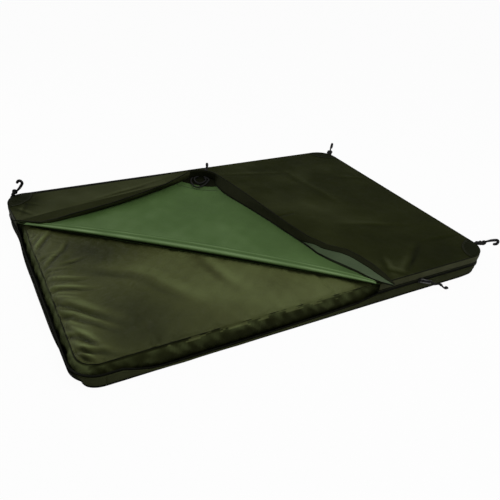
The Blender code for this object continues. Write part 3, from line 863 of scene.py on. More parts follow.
    @staticmethod
    def weave_spots(piece: Piece) -> np.ndarray:
        """Each vertex's place on the flat cloth."""
        layer = piece.data.uv_layers[FLAT_MAP].data
        spots = np.zeros((len(piece.data.vertices), 2))
        for loop in piece.data.loops:
            spots[loop.vertex_index] = layer[loop.index].uv
        return spots

    @staticmethod
    def thicken(piece: Piece, thickness: float) -> None:
        """Gives a sheet its thickness, inwards from its outer face."""
        modifier = piece.modifiers.new("thickness", "SOLIDIFY")
        modifier.thickness = thickness
        modifier.offset = -1

    def band(
        self, name: str, start: float, end: float, low: float, high: float, inset: Shape, rows: int = 6,
        cell: float = 0.006, thickness: float = 0.0013, turned: bool = False, lift: Path | None = None,
        sinks: bool = False,
    ) -> Piece:
        """Makes a wall that stands on the outline.

        Args:
            name: The piece's name.
            start: Where it starts, as a distance round the outline.
            end: Where it ends.
            low: Its lower edge's height.
            high: Its upper edge's height.
            inset: How far inside the outline it stands, for distances round and shares of its height.
            rows: Faces up the wall.
            cell: A face's length.
            thickness: The cloth's thickness.
            turned: Whether it is turned back over the fold.
            lift: What its upper edge gains, for distances round.
            sinks: Whether it sinks in front with the tray's wall.

        Returns:
            The wall.
        """
        span = end - start
        closed = span > OUTLINE.around - 1e-6

        def shape(u: np.ndarray, v: np.ndarray) -> np.ndarray:
            along = start + span * u
            places, _ = OUTLINE.walk(along, inset(along, v))
            gain = lift(along) if lift else 0.0
            height = low + (high - low + gain) * v
            return stack(*places.T, OUTLINE.sunk(along, height) if sinks else height)

        return self.grid(
            name, max(8, round(span / cell)), rows, shape, strip_weave(span, high - low), thickness=thickness,
            closed=closed, turned=turned,
        )

    def bead(
        self, name: str, path: Path, length: float, radius: float, closed: bool = False, sides: int = 8,
        cell: float = 0.005,
    ) -> Piece:
        """Makes a round cord along a path that lies nearly level.

        Args:
            name: The piece's name.
            path: Places for shares from 0 to 1.
            length: The path's length.
            radius: The cord's radius.
            closed: Whether its ends meet.
            sides: Faces round the cord.
            cell: A face's length.

        Returns:
            The cord.
        """
        def shape(u: np.ndarray, v: np.ndarray) -> np.ndarray:
            ahead = path(np.mod(u + STEP, 1.0) if closed else np.minimum(u + STEP, 1.0))
            behind = path(np.mod(u - STEP, 1.0) if closed else np.maximum(u - STEP, 0.0))
            run = ahead - behind
            run /= np.linalg.norm(run, axis=1)[:, None]
            out = np.stack([run[:, 1], -run[:, 0], np.zeros(len(u))], axis=-1)
            out /= np.linalg.norm(out, axis=1)[:, None]
            up = np.cross(out, run)
            turn = 2 * math.pi * v
            return path(u) + radius * (np.cos(turn)[:, None] * out - np.sin(turn)[:, None] * up)

        def cap(form: bmesh.types.BMesh) -> None:
            if not closed:
                bmesh.ops.holes_fill(form, edges=[edge for edge in form.edges if edge.is_boundary], sides=0)

        weave = strip_weave(length, 2 * math.pi * radius)
        piece = self.grid(name, max(8, round(length / cell)), sides, shape, weave, closed=True)
        self.rework(piece, cap, self.face_outward)
        return piece

    def stitches(
        self, name: str, path: Path, length: float, pitch: float = 0.0042,
        size: Place = (0.0026, 0.0007, 0.0005),
    ) -> Piece:
        """Makes a row of separate stitches.

        Args:
            name: The piece's name.
            path: Places for shares from 0 to 1.
            length: The row's length.
            pitch: The distance from stitch to stitch.
            size: A stitch's length, width and height.

        Returns:
            The row.
        """
        count = max(2, int(length / pitch))
        shares = (np.arange(count) + 0.5) / count
        return self.bars(name, path, shares, size)

    def bars(self, name: str, path: Path, shares: np.ndarray, size: Place) -> Piece:
        """Makes many small bars along a path.

        Args:
            name: The piece's name.
            path: Places for shares from 0 to 1.
            shares: Where the bars are.
            size: A bar's size along the path, across it and upwards.

        Returns:
            The bars, as one piece.
        """
        here = path(shares)
        ahead = path(np.minimum(shares + STEP, 1.0)) - path(np.maximum(shares - STEP, 0.0))
        form = bmesh.new()
        scale = Matrix.Diagonal((*size, 1.0))
        for place, run in zip(here, ahead):
            turn = Matrix.Rotation(math.atan2(run[1], run[0]), 4, "Z")
            bmesh.ops.create_cube(form, size=1.0, matrix=Matrix.Translation(Vector(place)) @ turn @ scale)
        piece = self.from_form(name, form)
        piece.data.shade_flat()
        return piece


# --------------------------------------------------------------------------------------
# Sub-assemblies
# --------------------------------------------------------------------------------------


@dataclass
class Tray:
    """The shallow tray: bottom, waved wall, bound edges, and the strip that the cover hangs on."""

    maker: ClothMaker
    wall_low: float = 0.0018
    wall_high: float = 0.0250
    strip_low: float = 0.0253
    strip_high: float = 0.0369
    strip_start: float = 1.7000
    strip_end: float = 2.8970
    base_height: float = 0.0013
    # Where the foot is drawn in: the middle, the depth, and the reach before and after
    tucks: tuple[tuple[float, float, float, float], ...] = (
        (3.545, 0.018, 0.080, 0.024), (1.027, 0.006, 0.05, 0.05), (1.761, 0.005, 0.05, 0.05),
        (2.836, 0.005, 0.05, 0.05),
    )
    wave: Ripple = field(default_factory=lambda: Ripple(3, 0.09, 0.0008, 7))

    def inset(self, along: np.ndarray, share: np.ndarray) -> np.ndarray:
        """How far inside the outline the wall stands."""
        swell = np.sin(math.pi * np.clip(share, 0, 1))
        tuck = self.tuck(along) * (1 - np.clip(share, 0, 1)) ** 1.3
        bulge = 0.0008 + 0.0030 * (1 - OUTLINE.upright(along))
        return -bulge * swell + self.wave.at(along, share * 0.02) * swell + 0.0006 + tuck

    def tuck(self, along: np.ndarray) -> np.ndarray:
        """How far the foot is drawn in under the mat's corners."""
        total = np.zeros(np.shape(along))
        half = OUTLINE.around / 2
        for middle, depth, before, after in self.tucks:
            away = np.mod(along - middle + half, 2 * half) - half
            total = total + depth * hump(away, np.where(away < 0, before, after))
        return total

    def build(self) -> None:
        """Makes the tray's cloth."""
        wall = self.maker.band(
            "tray_wall_cloth", 0, OUTLINE.around, self.wall_low, self.wall_high, self.inset, rows=6, sinks=True
        )
        self.maker.finish(wall, Finishes.TRAY, "tray_cloth", FIXED, ["tray_wall"])
        self.paint_light_and_shade(wall)
        self.bottom()
        self.edge_tape("tray_foot_binding_and_shadow", 0.0003, 0.0042, 0, OUTLINE.around)
        self.edge_tape("tray_rim_binding", 0.0216, 0.0251, 0, OUTLINE.around)
        strip = self.maker.band(
            "back_strip_cloth", self.strip_start, self.strip_end, self.strip_low, self.strip_high, self.inset,
            rows=4,
        )
        self.maker.finish(strip, Finishes.COVER_WALL, "cover_cloth", FIXED, ["back_hinge_strip"])

    def paint_light_and_shade(self, piece: Piece) -> None:
        """Paints light and shade on a piece of the wall: a painted highlight in front, painted shadow on the left.
        """
        x, y, z = self.maker.places(piece).T
        # Painted highlight on the front of the wall, painted shadow on its left side, and patches of painted sheen
        front = 0.36 + 0.45 * ease((-0.40 - x) / 0.06) + 0.16 * ease((x - 0.20) / 0.06)
        front = front * ease((-0.345 - y) / 0.01)
        left = 0.95 * ease((-x - 0.532) / 0.01)
        self.maker.paint_light_and_shade(piece, Ripple(61, 0.05, 0.10, 9).at(x, y + 0.4 * z) + front - left)

    def bottom(self) -> None:
        """Makes the tray's bottom panel, which rests on the ground."""
        def shape(u: np.ndarray, v: np.ndarray) -> np.ndarray:
            along = u * OUTLINE.around
            plan = OUTLINE.cover(along, v ** 1.5, self.tuck(along) + 0.0004)
            return stack(*plan.T, self.base_height)

        def flat(u: np.ndarray, v: np.ndarray) -> np.ndarray:
            return OUTLINE.cover(u * OUTLINE.around, v ** 1.5, 0.0004)

        panel = self.maker.grid("tray_bottom_cloth", 300, 20, shape, flat, closed=True)
        self.maker.face(panel, UP)
        self.maker.thicken(panel, 0.0012)
        self.maker.finish(panel, Finishes.TRAY_BOTTOM, "tray_cloth", FIXED, ["tray_bottom"])

    def edge_tape(self, name: str, low: float, high: float, start: float, end: float) -> None:
        """Makes a narrow sewn tape round the wall.

        Args:
            name: The piece's name.
            low: Its lower edge's height.
            high: Its upper edge's height.
            start: Where it starts round the outline.
            end: Where it ends.
        """
        def inset(along: np.ndarray, share: np.ndarray) -> np.ndarray:
            tuck = self.tuck(along) * (1 - (low + (high - low) * share) / self.wall_high) ** 1.3
            return tuck - 0.0007 * np.sin(math.pi * share) + 0.2 * self.wave.at(along, share * 0.01)

        at_foot = low < 0.01
        tape = self.maker.band(name, start, end, low, high, inset, rows=3, thickness=0.0006, sinks=not at_foot)
        # The tape at the foot takes the dark binding finish, which also stands in for the shadow line at the
        # wall's foot: partly painted shadow
        self.maker.finish(tape, Finishes.BINDING if at_foot else Finishes.TRAY, "tray_cloth", FIXED)
        self.paint_light_and_shade(tape)


@dataclass
class PaddedMat:
    """The foam mat in its sewn skin: puckered seam, drawn-in sides, creased top."""

    maker: ClothMaker
    inset: float = 0.0068
    low: float = 0.0018
    seam: float = 0.0430
    top: float = 0.0548
    shoulder: float = 0.0100
    columns: int = 560
    draw_in: float = 0.004
    # How much lower the top stays under the cover, and how softly it comes to its greatest height
    covered_drop: float = 0.0004
    softness: float = 0.0008
    creases: tuple[Crease, ...] = (
        Crease((-0.530, 0.062), (-0.479, 0.138), 0.009, 0.0040),
        Crease((-0.521, -0.011), (-0.467, 0.046), 0.008, 0.0036),
        Crease((-0.467, 0.046), (-0.452, 0.076), 0.007, 0.0024),
        Crease((-0.483, -0.019), (-0.440, -0.010), 0.006, 0.0022),
        Crease((-0.527, -0.067), (-0.460, -0.090), 0.008, 0.0040),
        Crease((-0.529, -0.101), (-0.450, -0.134), 0.008, 0.0036),
        Crease((-0.534, -0.136), (-0.430, -0.260), 0.015, 0.0060),
        Crease((-0.533, -0.186), (-0.445, -0.285), 0.010, 0.0044),
        Crease((-0.528, -0.235), (-0.480, -0.330), 0.009, 0.0042),
        Crease((-0.538, -0.251), (-0.499, -0.288), 0.007, 0.0032),
        Crease((-0.535, -0.306), (-0.465, -0.350), 0.009, 0.0042),
        Crease((-0.521, -0.331), (-0.505, -0.352), 0.007, 0.0026),
        Crease((-0.430, -0.060), (-0.330, -0.130), 0.022, 0.0020),
        Crease((-0.330, -0.130), (-0.270, -0.240), 0.024, 0.0020),
        Crease((-0.180, -0.080), (-0.150, -0.250), 0.020, 0.0012),
    )

    fine_creases: int = 26

    # Soft patches of painted sheen (above 0) and painted shade (below 0) on the skin: x, y, size and amount
    painted_light_areas: tuple[tuple[float, float, float, float], ...] = (
        (-0.39, 0.03, 0.12, -0.85), (-0.39, -0.24, 0.10, -0.55), (-0.33, -0.37, 0.10, -0.50),
        (-0.42, -0.33, 0.06, -0.25), (-0.29, -0.10, 0.09, 0.26), (-0.20, -0.24, 0.12, 0.30),
        (-0.05, -0.30, 0.14, 0.30), (0.08, -0.36, 0.10, 0.20), (-0.49, -0.12, 0.05, 0.26),
        (-0.50, 0.08, 0.05, 0.25), (-0.505, -0.28, 0.05, 0.36), (-0.47, -0.18, 0.03, 0.15),
    )

    # The top's rise, from its seam inwards: the distance in, and the height gained there
    rises: tuple[Spot, ...] = (
        (0, 0), (0.003, 0.0016), (0.008, 0.0034), (0.016, 0.0056), (0.03, 0.0080), (0.05, 0.0098),
        (0.08, 0.0108), (0.13, 0.0115), (0.2, 0.0118),
    )

    # The simulated skin's frames, and how far it may move along X, Y and Z
    frames: int = 20
    move_limits: Place = (0.0014, 0.0014, 0.0030)

    # Share of the grid's rows at which the side and the top start
    side_share: float = 0.10
    top_share: float = 0.30

    @property
    def fan(self) -> list[Crease]:
        """Short sharp creases that fan out from the seam on the left."""
        dice = np.random.default_rng(77)
        creases = []
        for back in np.linspace(0.13, -0.345, self.fine_creases):
            back += dice.uniform(-0.006, 0.006)
            turn = np.interp(back, (-0.34, -0.20, 0.0, 0.06, 0.13), (-0.95, -0.75, -0.15, 0.75, 1.0))
            turn += dice.uniform(-0.18, 0.18)
            length = dice.uniform(0.022, 0.062)
            left = -0.534 + dice.uniform(0, 0.010)
            end = (left + length * math.cos(turn), back + length * math.sin(turn))
            creases.append(Crease((left, back), end, dice.uniform(0.0032, 0.0055), dice.uniform(0.0010, 0.0019)))
        return creases

    def plan(self, along: np.ndarray, inset: np.ndarray, share: np.ndarray) -> np.ndarray:
        """Places in the mat's plan, its sides drawn in between the corners.

        Args:
            along: Distances round the outline.
            inset: How far inside the outline the mat's edge is.
            share: 0 at the edge, 1 at the middle line.

        Returns:
            The places, as rows of x and y.
        """
        edge, _ = OUTLINE.walk(along, inset)
        out = edge / np.array(OUTLINE.half)
        return OUTLINE.inward(edge - self.draw_in * np.maximum(0, 1 - out[:, ::-1] ** 2) * out, share)

    def shape(self, u: np.ndarray, v: np.ndarray) -> np.ndarray:
        """The whole skin: from the bottom's middle out, up the side, and over the top.

        Args:
            u: Shares of the way round.
            v: Shares of the way from the bottom's middle to the top's middle.

        Returns:
            The places.
        """
        along = u * OUTLINE.around
        bottom = np.clip(1 - v / self.side_share, 0, 1)
        climb = np.clip((v - self.side_share) / (self.top_share - self.side_share), 0, 1)
        inward = np.clip((v - self.top_share) / (1 - self.top_share), 0, 1) ** 1.9
        pucker = Ripple(11, 0.035, 0.0011, 9).at(along, climb * 0.02)
        pucker += Ripple(12, 0.014, 0.0005, 9).at(along, climb * 0.02)
        loose = 0.5 + 0.5 * hump(along - 3.57, 0.25) + 0.5 * hump(along, 0.2)
        swell = np.sin(math.pi * climb ** 0.8)
        freed = 1 - OUTLINE.upright(along)
        inset = self.inset + 0.0022 * (1 - swell) + pucker * swell * loose - 0.0042 * freed * swell
        inset = inset + (self.shoulder - 0.0022) * np.clip((climb - 0.45) / 0.55, 0, 1) ** 1.8
        x, y = self.plan(along, inset, np.where(v < self.side_share, bottom, inward)).T
        side_height = self.low + (self.seam - self.low) * climb
        return stack(x, y, np.where(v < self.top_share, side_height, self.height(x, y, along)))

    def height(self, x: np.ndarray, y: np.ndarray, along: np.ndarray) -> np.ndarray:
        """The top's height at each place.

        Args:
            x: Places along the mat.
            y: Places across the mat.
            along: Distances round the outline, for the puckers at the seam.

        Returns:
            The heights.
        """
        reach = np.maximum(OUTLINE.edge_distance(x, y) - self.inset - self.shoulder, 0)
        rise = np.interp(reach, *np.array(self.rises).T)
        near = np.exp(-reach / 0.022)
        puckers = Ripple(21, 0.030, 0.0013, 9).at(along, reach * 0.4) * near * np.minimum(1, reach / 0.004)
        waves = Ripple(5, 0.16, 0.0009, 9).at(x, y) * np.minimum(1, reach / 0.03)
        waves += Ripple(6, 0.055, 0.00025, 11).at(x, y) * np.minimum(1, reach / 0.02)
        total = self.seam + rise + puckers + waves
        for crease in (*self.creases, *self.fan):
            total = total + crease.at(x, y) * np.minimum(1, reach / 0.006)
        limit = np.where(FOLD.past(x, y) < 0, self.top - self.covered_drop, self.top)
        over = total - limit + self.softness
        return np.where(over > 0, limit - self.softness * np.exp(-np.clip(over, 0, 1) / self.softness), total)

    def flat(self, u: np.ndarray, v: np.ndarray) -> np.ndarray:
        """Places on the flat cloth, in metres."""
        return np.stack([u * OUTLINE.around, v * 0.5], axis=-1)

    def build(self) -> None:
        """Makes the padded mat."""
        piece = self.maker.grid("mat_cushion", self.columns, 96, self.shape, self.flat, closed=True)
        self.close_middles(piece)
        self.lay_flat_weave(piece)
        self.settle(piece)
        self.maker.finish(
            piece, Finishes.MAT, "mat_cloth", FIXED,
            ["mat_top_panel", "mat_side_band", "mat_bottom_panel", "mat_foam"],
        )
        # The faces below the seam take the darker copy of the cloth: painted shade on the sides
        piece.data.materials.append(self.maker.finishes.get(Finishes.MAT_SIDE_SHADED))
        for face in piece.data.polygons:
            face.material_index = 0 if face.center.z > self.seam or face.normal.z > 0.75 else 1
        self.maker.paint_light_and_shade(piece, self.painted_light_and_shade(self.maker.places(piece)))
        self.press(piece)
        self.seam_bead()

    @staticmethod
    def press(piece: Piece) -> None:
        """Gives a piece of the mat its own copy of its mesh."""
        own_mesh(piece)

    def painted_light_and_shade(self, places: np.ndarray) -> np.ndarray:
        """Painted light and shade on the skin: highlights and shade along its creases, and broad soft patches of
        sheen and shade.
        """
        x, y, z = places.T
        total = Ripple(14, 0.14, 0.08, 9).at(x, y) + Ripple(16, 0.045, 0.05, 11).at(x, y)
        total = toned(total, x, y, self.painted_light_areas)
        # Painted highlights on the creases' ridges, painted shade in their grooves
        for crease in self.creases:
            total = total + 0.9 * crease.at(x, y) / crease.depth * min(1.0, 0.012 / crease.width)
        for crease in self.fan:
            total = total + 0.55 * crease.at(x, y) / crease.depth
        # On the sides: a painted highlight on the left side, painted shade that deepens towards the bottom, and
        # the bottom painted dark
        side = Ripple(15, 0.032, 0.20, 9).at(x + 0.6 * z, y + 0.6 * z) + 0.55 * (x < -0.515)
        side = side + np.interp(z, (0.010, 0.022, 0.034, self.seam), (-0.30, -0.04, 0.16, 0.24))
        return np.where(z > self.seam - 0.002, total, np.where(z > 0.006, side, -0.4))

    def settle(self, piece: Piece) -> None:
        """Lets the skin pucker along its seam, as a simulated cloth that is cut a little large.

        Args:
            piece: The finished skin, which takes on the simulated cloth's small moves.
        """
        trial = self.maker.grid("mat_trial", 400, 70, self.shape, self.flat, closed=True)
        self.close_middles(trial)
        start = self.maker.places(trial)
        moves = self.simulate(trial, self.held(start)) - start
        LOG.info("the simulated skin moved by up to %.1f mm", 1000 * np.abs(moves).max())
        limits = np.array(self.move_limits)
        self.carry(piece, start, np.clip(moves, -limits, limits))

    def held(self, places: np.ndarray) -> np.ndarray:
        """How firmly each place of the simulated skin is pinned: at its seam and its bottom wholly."""
        x, y, z = places.T
        reach = OUTLINE.edge_distance(x, y) - self.inset - self.shoulder
        held = np.where(z > self.seam - 0.0004, 0.02 + 0.5 * ease((reach - 0.02) / 0.10), 0.03)
        held = np.where((np.abs(reach) < 0.0016) & (np.abs(z - self.seam) < 0.002), 1.0, held)
        return np.where(z < 0.010, 1.0, held)

    def simulate(self, trial: Piece, held: np.ndarray) -> np.ndarray:
        """Settles a trial skin as cloth, and removes it.

        Args:
            trial: The trial skin.
            held: How firmly each of its vertices is pinned.

        Returns:
            The settled places.
        """
        group = trial.vertex_groups.new(name="held")
        for index, weight in enumerate(held):
            group.add([index], float(weight), "REPLACE")
        modifier = trial.modifiers.new("skin", "CLOTH")
        cloth = modifier.settings
        cloth.quality = 5
        cloth.mass = 0.12
        cloth.tension_stiffness = cloth.compression_stiffness = 18
        cloth.shear_stiffness = 6
        cloth.bending_stiffness = 0.08
        cloth.shrink_min = -0.035
        cloth.use_pressure = True
        cloth.uniform_pressure_force = 4.0
        cloth.vertex_group_mass = "held"
        cloth.effector_weights.gravity = 0
        modifier.point_cache.frame_start, modifier.point_cache.frame_end = 1, self.frames
        scene = bpy.context.scene
        for frame in range(1, self.frames + 1):
            scene.frame_set(frame)
        evaluated = trial.evaluated_get(bpy.context.evaluated_depsgraph_get())
        settled = np.array([vertex.co[:] for vertex in evaluated.to_mesh().vertices])
        evaluated.to_mesh_clear()
        scene.frame_set(1)
        mesh = trial.data
        bpy.data.objects.remove(trial)
        bpy.data.meshes.remove(mesh)
        return settled

    def carry(self, piece: Piece, start: np.ndarray, moves: np.ndarray) -> None:
        """Carries a trial skin's moves over to the finer skin.

        Args:
            piece: The finer skin.
            start: The trial skin's places before it was simulated.
            moves: How far each of them moved.
        """
        tree = KDTree(len(start))
        for index, place in enumerate(start):
            tree.insert(place, index)
        tree.balance()
        for vertex in piece.data.vertices:
            near = tree.find_n(vertex.co, 4)
            shares = [1 / (distance + 0.0004) ** 2 for _, _, distance in near]
            move = sum(share * moves[index] for share, (_, index, _) in zip(shares, near)) / sum(shares)
            under = max(0.0, min(1.0, -FOLD.past(vertex.co.x, vertex.co.y) / 0.02))
            ceiling = self.top - self.covered_drop if under > 0 else self.top + 0.0012
            inward = OUTLINE.edge_distance(vertex.co.x, vertex.co.y) - self.inset - self.shoulder
            sewn = math.exp(-((inward / 0.0075) ** 2) - ((vertex.co.z - self.seam) / 0.006) ** 2)
            vertex.co += Vector(move) * (1 - 0.8 * under) * (1 - sewn)
            vertex.co.z = min(vertex.co.z, ceiling) if vertex.co.z > self.seam else max(vertex.co.z, 0.0016)

    def close_middles(self, piece: Piece) -> None:
        """Joins the rows that meet on the line down the middle."""
        def join(form: bmesh.types.BMesh) -> None:
            bmesh.ops.remove_doubles(form, verts=form.verts, dist=2e-4)

        self.maker.rework(piece, join, self.maker.face_outward)

    def lay_flat_weave(self, piece: Piece) -> None:
        """Lets the weave run straight over the top, and round the sides."""
        layer = piece.data.uv_layers[FLAT_MAP].data
        for face in piece.data.polygons:
            if face.normal.z > 0.6 or face.normal.z < -0.6:
                for loop in face.loop_indices:
                    spot = piece.data.vertices[piece.data.loops[loop].vertex_index].co
                    layer[loop].uv = (spot.x, spot.y)

    def seam_bead(self) -> None:
        """Makes the sewn seam round the top as two fine raised lines."""
        def path(offset: float, drop: float) -> Path:
            def at(u: np.ndarray) -> np.ndarray:
                along = u * OUTLINE.around
                inset = self.inset + self.shoulder + offset + Ripple(31, 0.03, 0.0003, 7).at(along, along * 0)
                plan = self.plan(along, inset, np.zeros(len(u)))
                wave = Ripple(32, 0.04, 0.0002, 7).at(along, along * 0)
                return stack(*plan.T, self.seam - drop + wave)
            return at

        bead = self.maker.bead("mat_seam_cord", path(-0.0003, -0.0007), OUTLINE.around, 0.0007, closed=True)
        self.maker.finish(bead, Finishes.BINDING, "mat_cloth", FIXED, ["mat_seam_piping"])
        self.press(bead)
        second = self.maker.bead("mat_top_stitch_line", path(0.0030, -0.0015), OUTLINE.around, 0.0007, closed=True)
        self.maker.finish(second, Finishes.MAT, "mat_cloth", FIXED)
        self.press(second)


@dataclass
class CoverCloth:
    """The fixed part of the cover: top, wall, the seam between them, binding, lining and zip tapes."""

    maker: ClothMaker
    height: float = 0.0580
    wall_low: float = 0.0372
    wall_high: float = 0.0568
    wall_start: float = 0.6602
    wall_end: float = 2.9824
    seam_x: float = 0.300
    lining_height: float = 0.0562
    binding_start: float = 2.24
    binding_span: float = 0.66
    # What the top gains at three of the mat's corners: the signs of x and y there, and the height
    corner_lifts: tuple[Place, ...] = ((-1, 1, 0.0050), (1, 1, 0.0016), (1, -1, 0.0012))
    creases: tuple[Crease, ...] = (
        Crease((-0.517, 0.232), (-0.435, 0.227), 0.007, 0.0016),
        Crease((-0.435, 0.227), (-0.376, 0.240), 0.007, 0.0016),
        Crease((-0.376, 0.240), (-0.279, 0.267), 0.007, 0.0014),
        Crease((-0.279, 0.267), (-0.123, 0.297), 0.007, 0.0012),
        Crease((0.416, -0.266), (0.526, -0.274), 0.008, 0.0018),
        Crease((0.299, -0.341), (0.336, -0.316), 0.006, 0.0014),
        Crease((-0.484, 0.229), (-0.319, 0.248), 0.005, 0.0016),
        Crease((-0.433, 0.225), (-0.153, 0.300), 0.006, 0.0018),
        Crease((-0.341, 0.270), (-0.087, 0.346), 0.006, 0.0016),
        Crease((-0.254, 0.293), (-0.146, 0.320), 0.005, 0.0012),
        Crease((-0.475, 0.208), (-0.395, 0.219), 0.005, 0.0014),
        Crease((-0.538, 0.300), (-0.501, 0.247), 0.008, 0.0020),
        Crease((-0.545, 0.345), (-0.480, 0.300), 0.007, 0.0022),
        Crease((-0.530, 0.250), (-0.497, 0.335), 0.006, 0.0018),
        Crease((0.080, 0.310), (0.300, 0.255), 0.012, 0.0010),
        Crease((0.300, 0.270), (0.330, 0.020), 0.016, 0.0012),
        Crease((0.430, 0.180), (0.540, 0.120), 0.010, 0.0012),
        Crease((0.260, -0.100), (0.430, -0.180), 0.014, 0.0010),
        Crease((0.252, -0.290), (0.228, -0.345), 0.011, 0.0030),
        Crease((0.228, -0.335), (0.262, -0.374), 0.011, 0.0026),
        Crease((0.262, -0.362), (0.350, -0.298), 0.013, 0.0026),
        Crease((0.350, -0.298), (0.400, -0.262), 0.014, 0.0016),
    )
    # Soft patches of painted sheen (above 0) and painted shade (below 0) on the top: x, y, size and amount
    painted_light_areas: tuple[tuple[float, float, float, float], ...] = (
        (0.25, 0.03, 0.11, 0.16), (0.20, 0.26, 0.12, 0.07), (0.33, -0.10, 0.07, 0.10),
        (0.46, 0.05, 0.12, -0.22), (0.40, -0.24, 0.12, -0.30), (0.34, -0.36, 0.07, -0.35),
        (0.47, -0.31, 0.07, -0.20), (-0.53, 0.33, 0.06, -0.90),
        (0.24, -0.35, 0.022, 0.22), (0.26, -0.375, 0.022, 0.20), (0.225, -0.365, 0.015, 0.20),
        (-0.515, 0.345, 0.030, -0.60),
    )

    def surface(self, x: np.ndarray, y: np.ndarray) -> np.ndarray:
        """The fixed top's height at each place.

        Args:
            x: Places along the mat.
            y: Places across the mat.

        Returns:
            The heights of the outer face.
        """
        reach = np.maximum(OUTLINE.edge_distance(x, y), 0)
        loose = np.minimum(1, reach / 0.03)
        under_flap = self.under_flap(x, y)
        waves = Ripple(41, 0.22, 0.0012, 9).at(x, y) * loose
        waves += Ripple(42, 0.09, 0.0004, 9).at(x, y) * loose
        waves = np.where(waves > 0, waves * (1 - under_flap), waves)
        total = self.height - 0.0004 + waves - 0.0012 * np.exp(-reach / 0.006)
        for crease in self.creases:
            total = total + crease.at(x, y) * (1 - under_flap) * np.minimum(1, reach / 0.008)
        for across, back, lift in self.corner_lifts:
            away = np.hypot(x - across * OUTLINE.half[0], y - back * OUTLINE.half[1])
            total = total + lift * hump(away, 0.05)
        return np.maximum(total, self.height - 0.0007)

    @staticmethod
    def under_flap(x: np.ndarray, y: np.ndarray) -> np.ndarray:
        """1 where the folded corner lies on the cover, falling to 0 round it."""
        closed = FOLD.turned(stack(x, y, 0.0))
        inside = OUTLINE.edge_distance(*closed.T[:2])
        return ease((inside + 0.02) / 0.02) * ease((0.02 - FOLD.past(x, y)) / 0.02)

    def top_shape(self, u: np.ndarray, v: np.ndarray) -> np.ndarray:
        """The top as places for shares round the outline and in from its edge."""
        plan = OUTLINE.sheet(u, v)
        return stack(*plan.T, self.surface(*plan.T))

    def wall_inset(self, along: np.ndarray, share: np.ndarray) -> np.ndarray:
        """How far inside the outline the wall stands."""
        swell = np.sin(math.pi * np.clip(share, 0, 1))
        seam = hump(along - (self.seam_x + 0.49), 0.003)
        wave = Ripple(44, 0.10, 0.0010, 7).at(along, share * 0.03)
        return 0.0006 - 0.0010 * swell + wave * swell + 0.0016 * seam

    def rim(self, along: np.ndarray) -> np.ndarray:
        """Where the top and the wall are sewn together, for distances round."""
        places, _ = OUTLINE.walk(along, 0.0008)
        return stack(*places.T, self.surface(*places.T) - 0.0004)

    def wall_lift(self, along: np.ndarray) -> np.ndarray:
        """What the wall's upper edge gains to meet the top."""
        return self.rim(along)[:, 2] - self.wall_high

    def build(self) -> None:
        """Makes the cover's fixed cloth."""
        top = self.maker.grid(
            "cover_top_cloth", 540, 56, self.top_shape, OUTLINE.sheet, side=Side.FIXED, thickness=0.0009,
            closed=True,
        )
        self.maker.finish(top, Finishes.COVER, "cover_cloth", FIXED, ["cover_top_panel"])
        self.maker.paint_light_and_shade(top, self.painted_light_and_shade(self.maker.places(top)))
        wall = self.maker.band(
            "cover_wall_cloth", self.wall_start, self.wall_end, self.wall_low, self.wall_high, self.wall_inset,
            rows=6, lift=self.wall_lift,
        )
        self.maker.finish(wall, Finishes.COVER_WALL, "cover_cloth", FIXED, ["cover_side_wall"])
        # Painted highlight on the front of the wall, with patches of painted sheen
        x, y, z = self.maker.places(wall).T
        front = ease((-0.345 - y) / 0.02) * (0.45 + 0.25 * ease((x - self.seam_x) / 0.01))
        self.maker.paint_light_and_shade(wall, front + Ripple(49, 0.06, 0.08, 9).at(x, y + 0.4 * z))
        span = self.wall_end - self.wall_start
        bead = self.maker.bead("cover_rim_seam", lambda u: self.rim(self.wall_start + span * u), span, 0.0012)
        self.maker.finish(bead, Finishes.BINDING, "cover_cloth", FIXED)
        self.binding()
        self.lining()
        self.tapes()

    def painted_light_and_shade(self, places: np.ndarray) -> np.ndarray:
        """Painted light and shade on the top: broad sheen, the lit strip at the back, and highlights along its
        creases and its front edge.
        """
        x, y, _ = places.T
        total = Ripple(46, 0.24, 0.10, 9).at(x, y) + Ripple(47, 0.07, 0.05, 9).at(x, y)
        # Painted sheen on the strip along the back
        strip = ease((0.10 - x) / 0.25) * ease((y - 0.17) / 0.04)
        total = total + 0.48 * strip
        total = toned(total, x, y, self.painted_light_areas)
        pinch = ease((0.42 - x) / 0.08) * ease((-0.24 - y) / 0.05)
        # Painted highlights along the creases, strongest on the back strip and at the pinch in front
        for crease in self.creases:
            total = total + (0.25 + 0.3 * strip + 0.22 * pinch) * crease.at(x, y) / crease.depth
        # Painted highlight along the front edge
        edge = hump(OUTLINE.edge_distance(x, y), 0.004) * ease((-0.33 - y) / 0.02)
        return total + 0.35 * edge

    def binding(self) -> None:
        """Makes the binding tape that shows along the back edge and round the back left corner."""
        def shape(u: np.ndarray, v: np.ndarray) -> np.ndarray:
            along = self.binding_start + self.binding_span * u
            width = 0.0125 * ease(u / 0.3) * ease((1 - u) / 0.1) + 0.0005
            plan, _ = OUTLINE.walk(along, -0.0004 + width * v)
            x, y = plan.T
            return stack(x, y, self.surface(x, y) + 0.0010 * np.sin(math.pi * np.clip(v + 0.12, 0, 1)) ** 0.5)

        tape = self.maker.grid("cover_back_binding", 130, 6, shape, strip_weave(self.binding_span, 0.009))
        self.maker.face(tape, UP)
        self.maker.thicken(tape, 0.0007)
        self.maker.finish(tape, Finishes.BINDING, "cover_cloth", FIXED)

    def lining(self) -> None:
        """Makes the fixed lining, under the top."""
        def shape(u: np.ndarray, v: np.ndarray) -> np.ndarray:
            plan = OUTLINE.sheet(u, v, 0.0019)
            x, y = plan.T
            sag = 0.0003 * (0.5 + 0.5 * np.sin(Ripple(48, 0.2, 3.0, 7).at(x, y)))
            return stack(x, y, self.lining_height - sag)

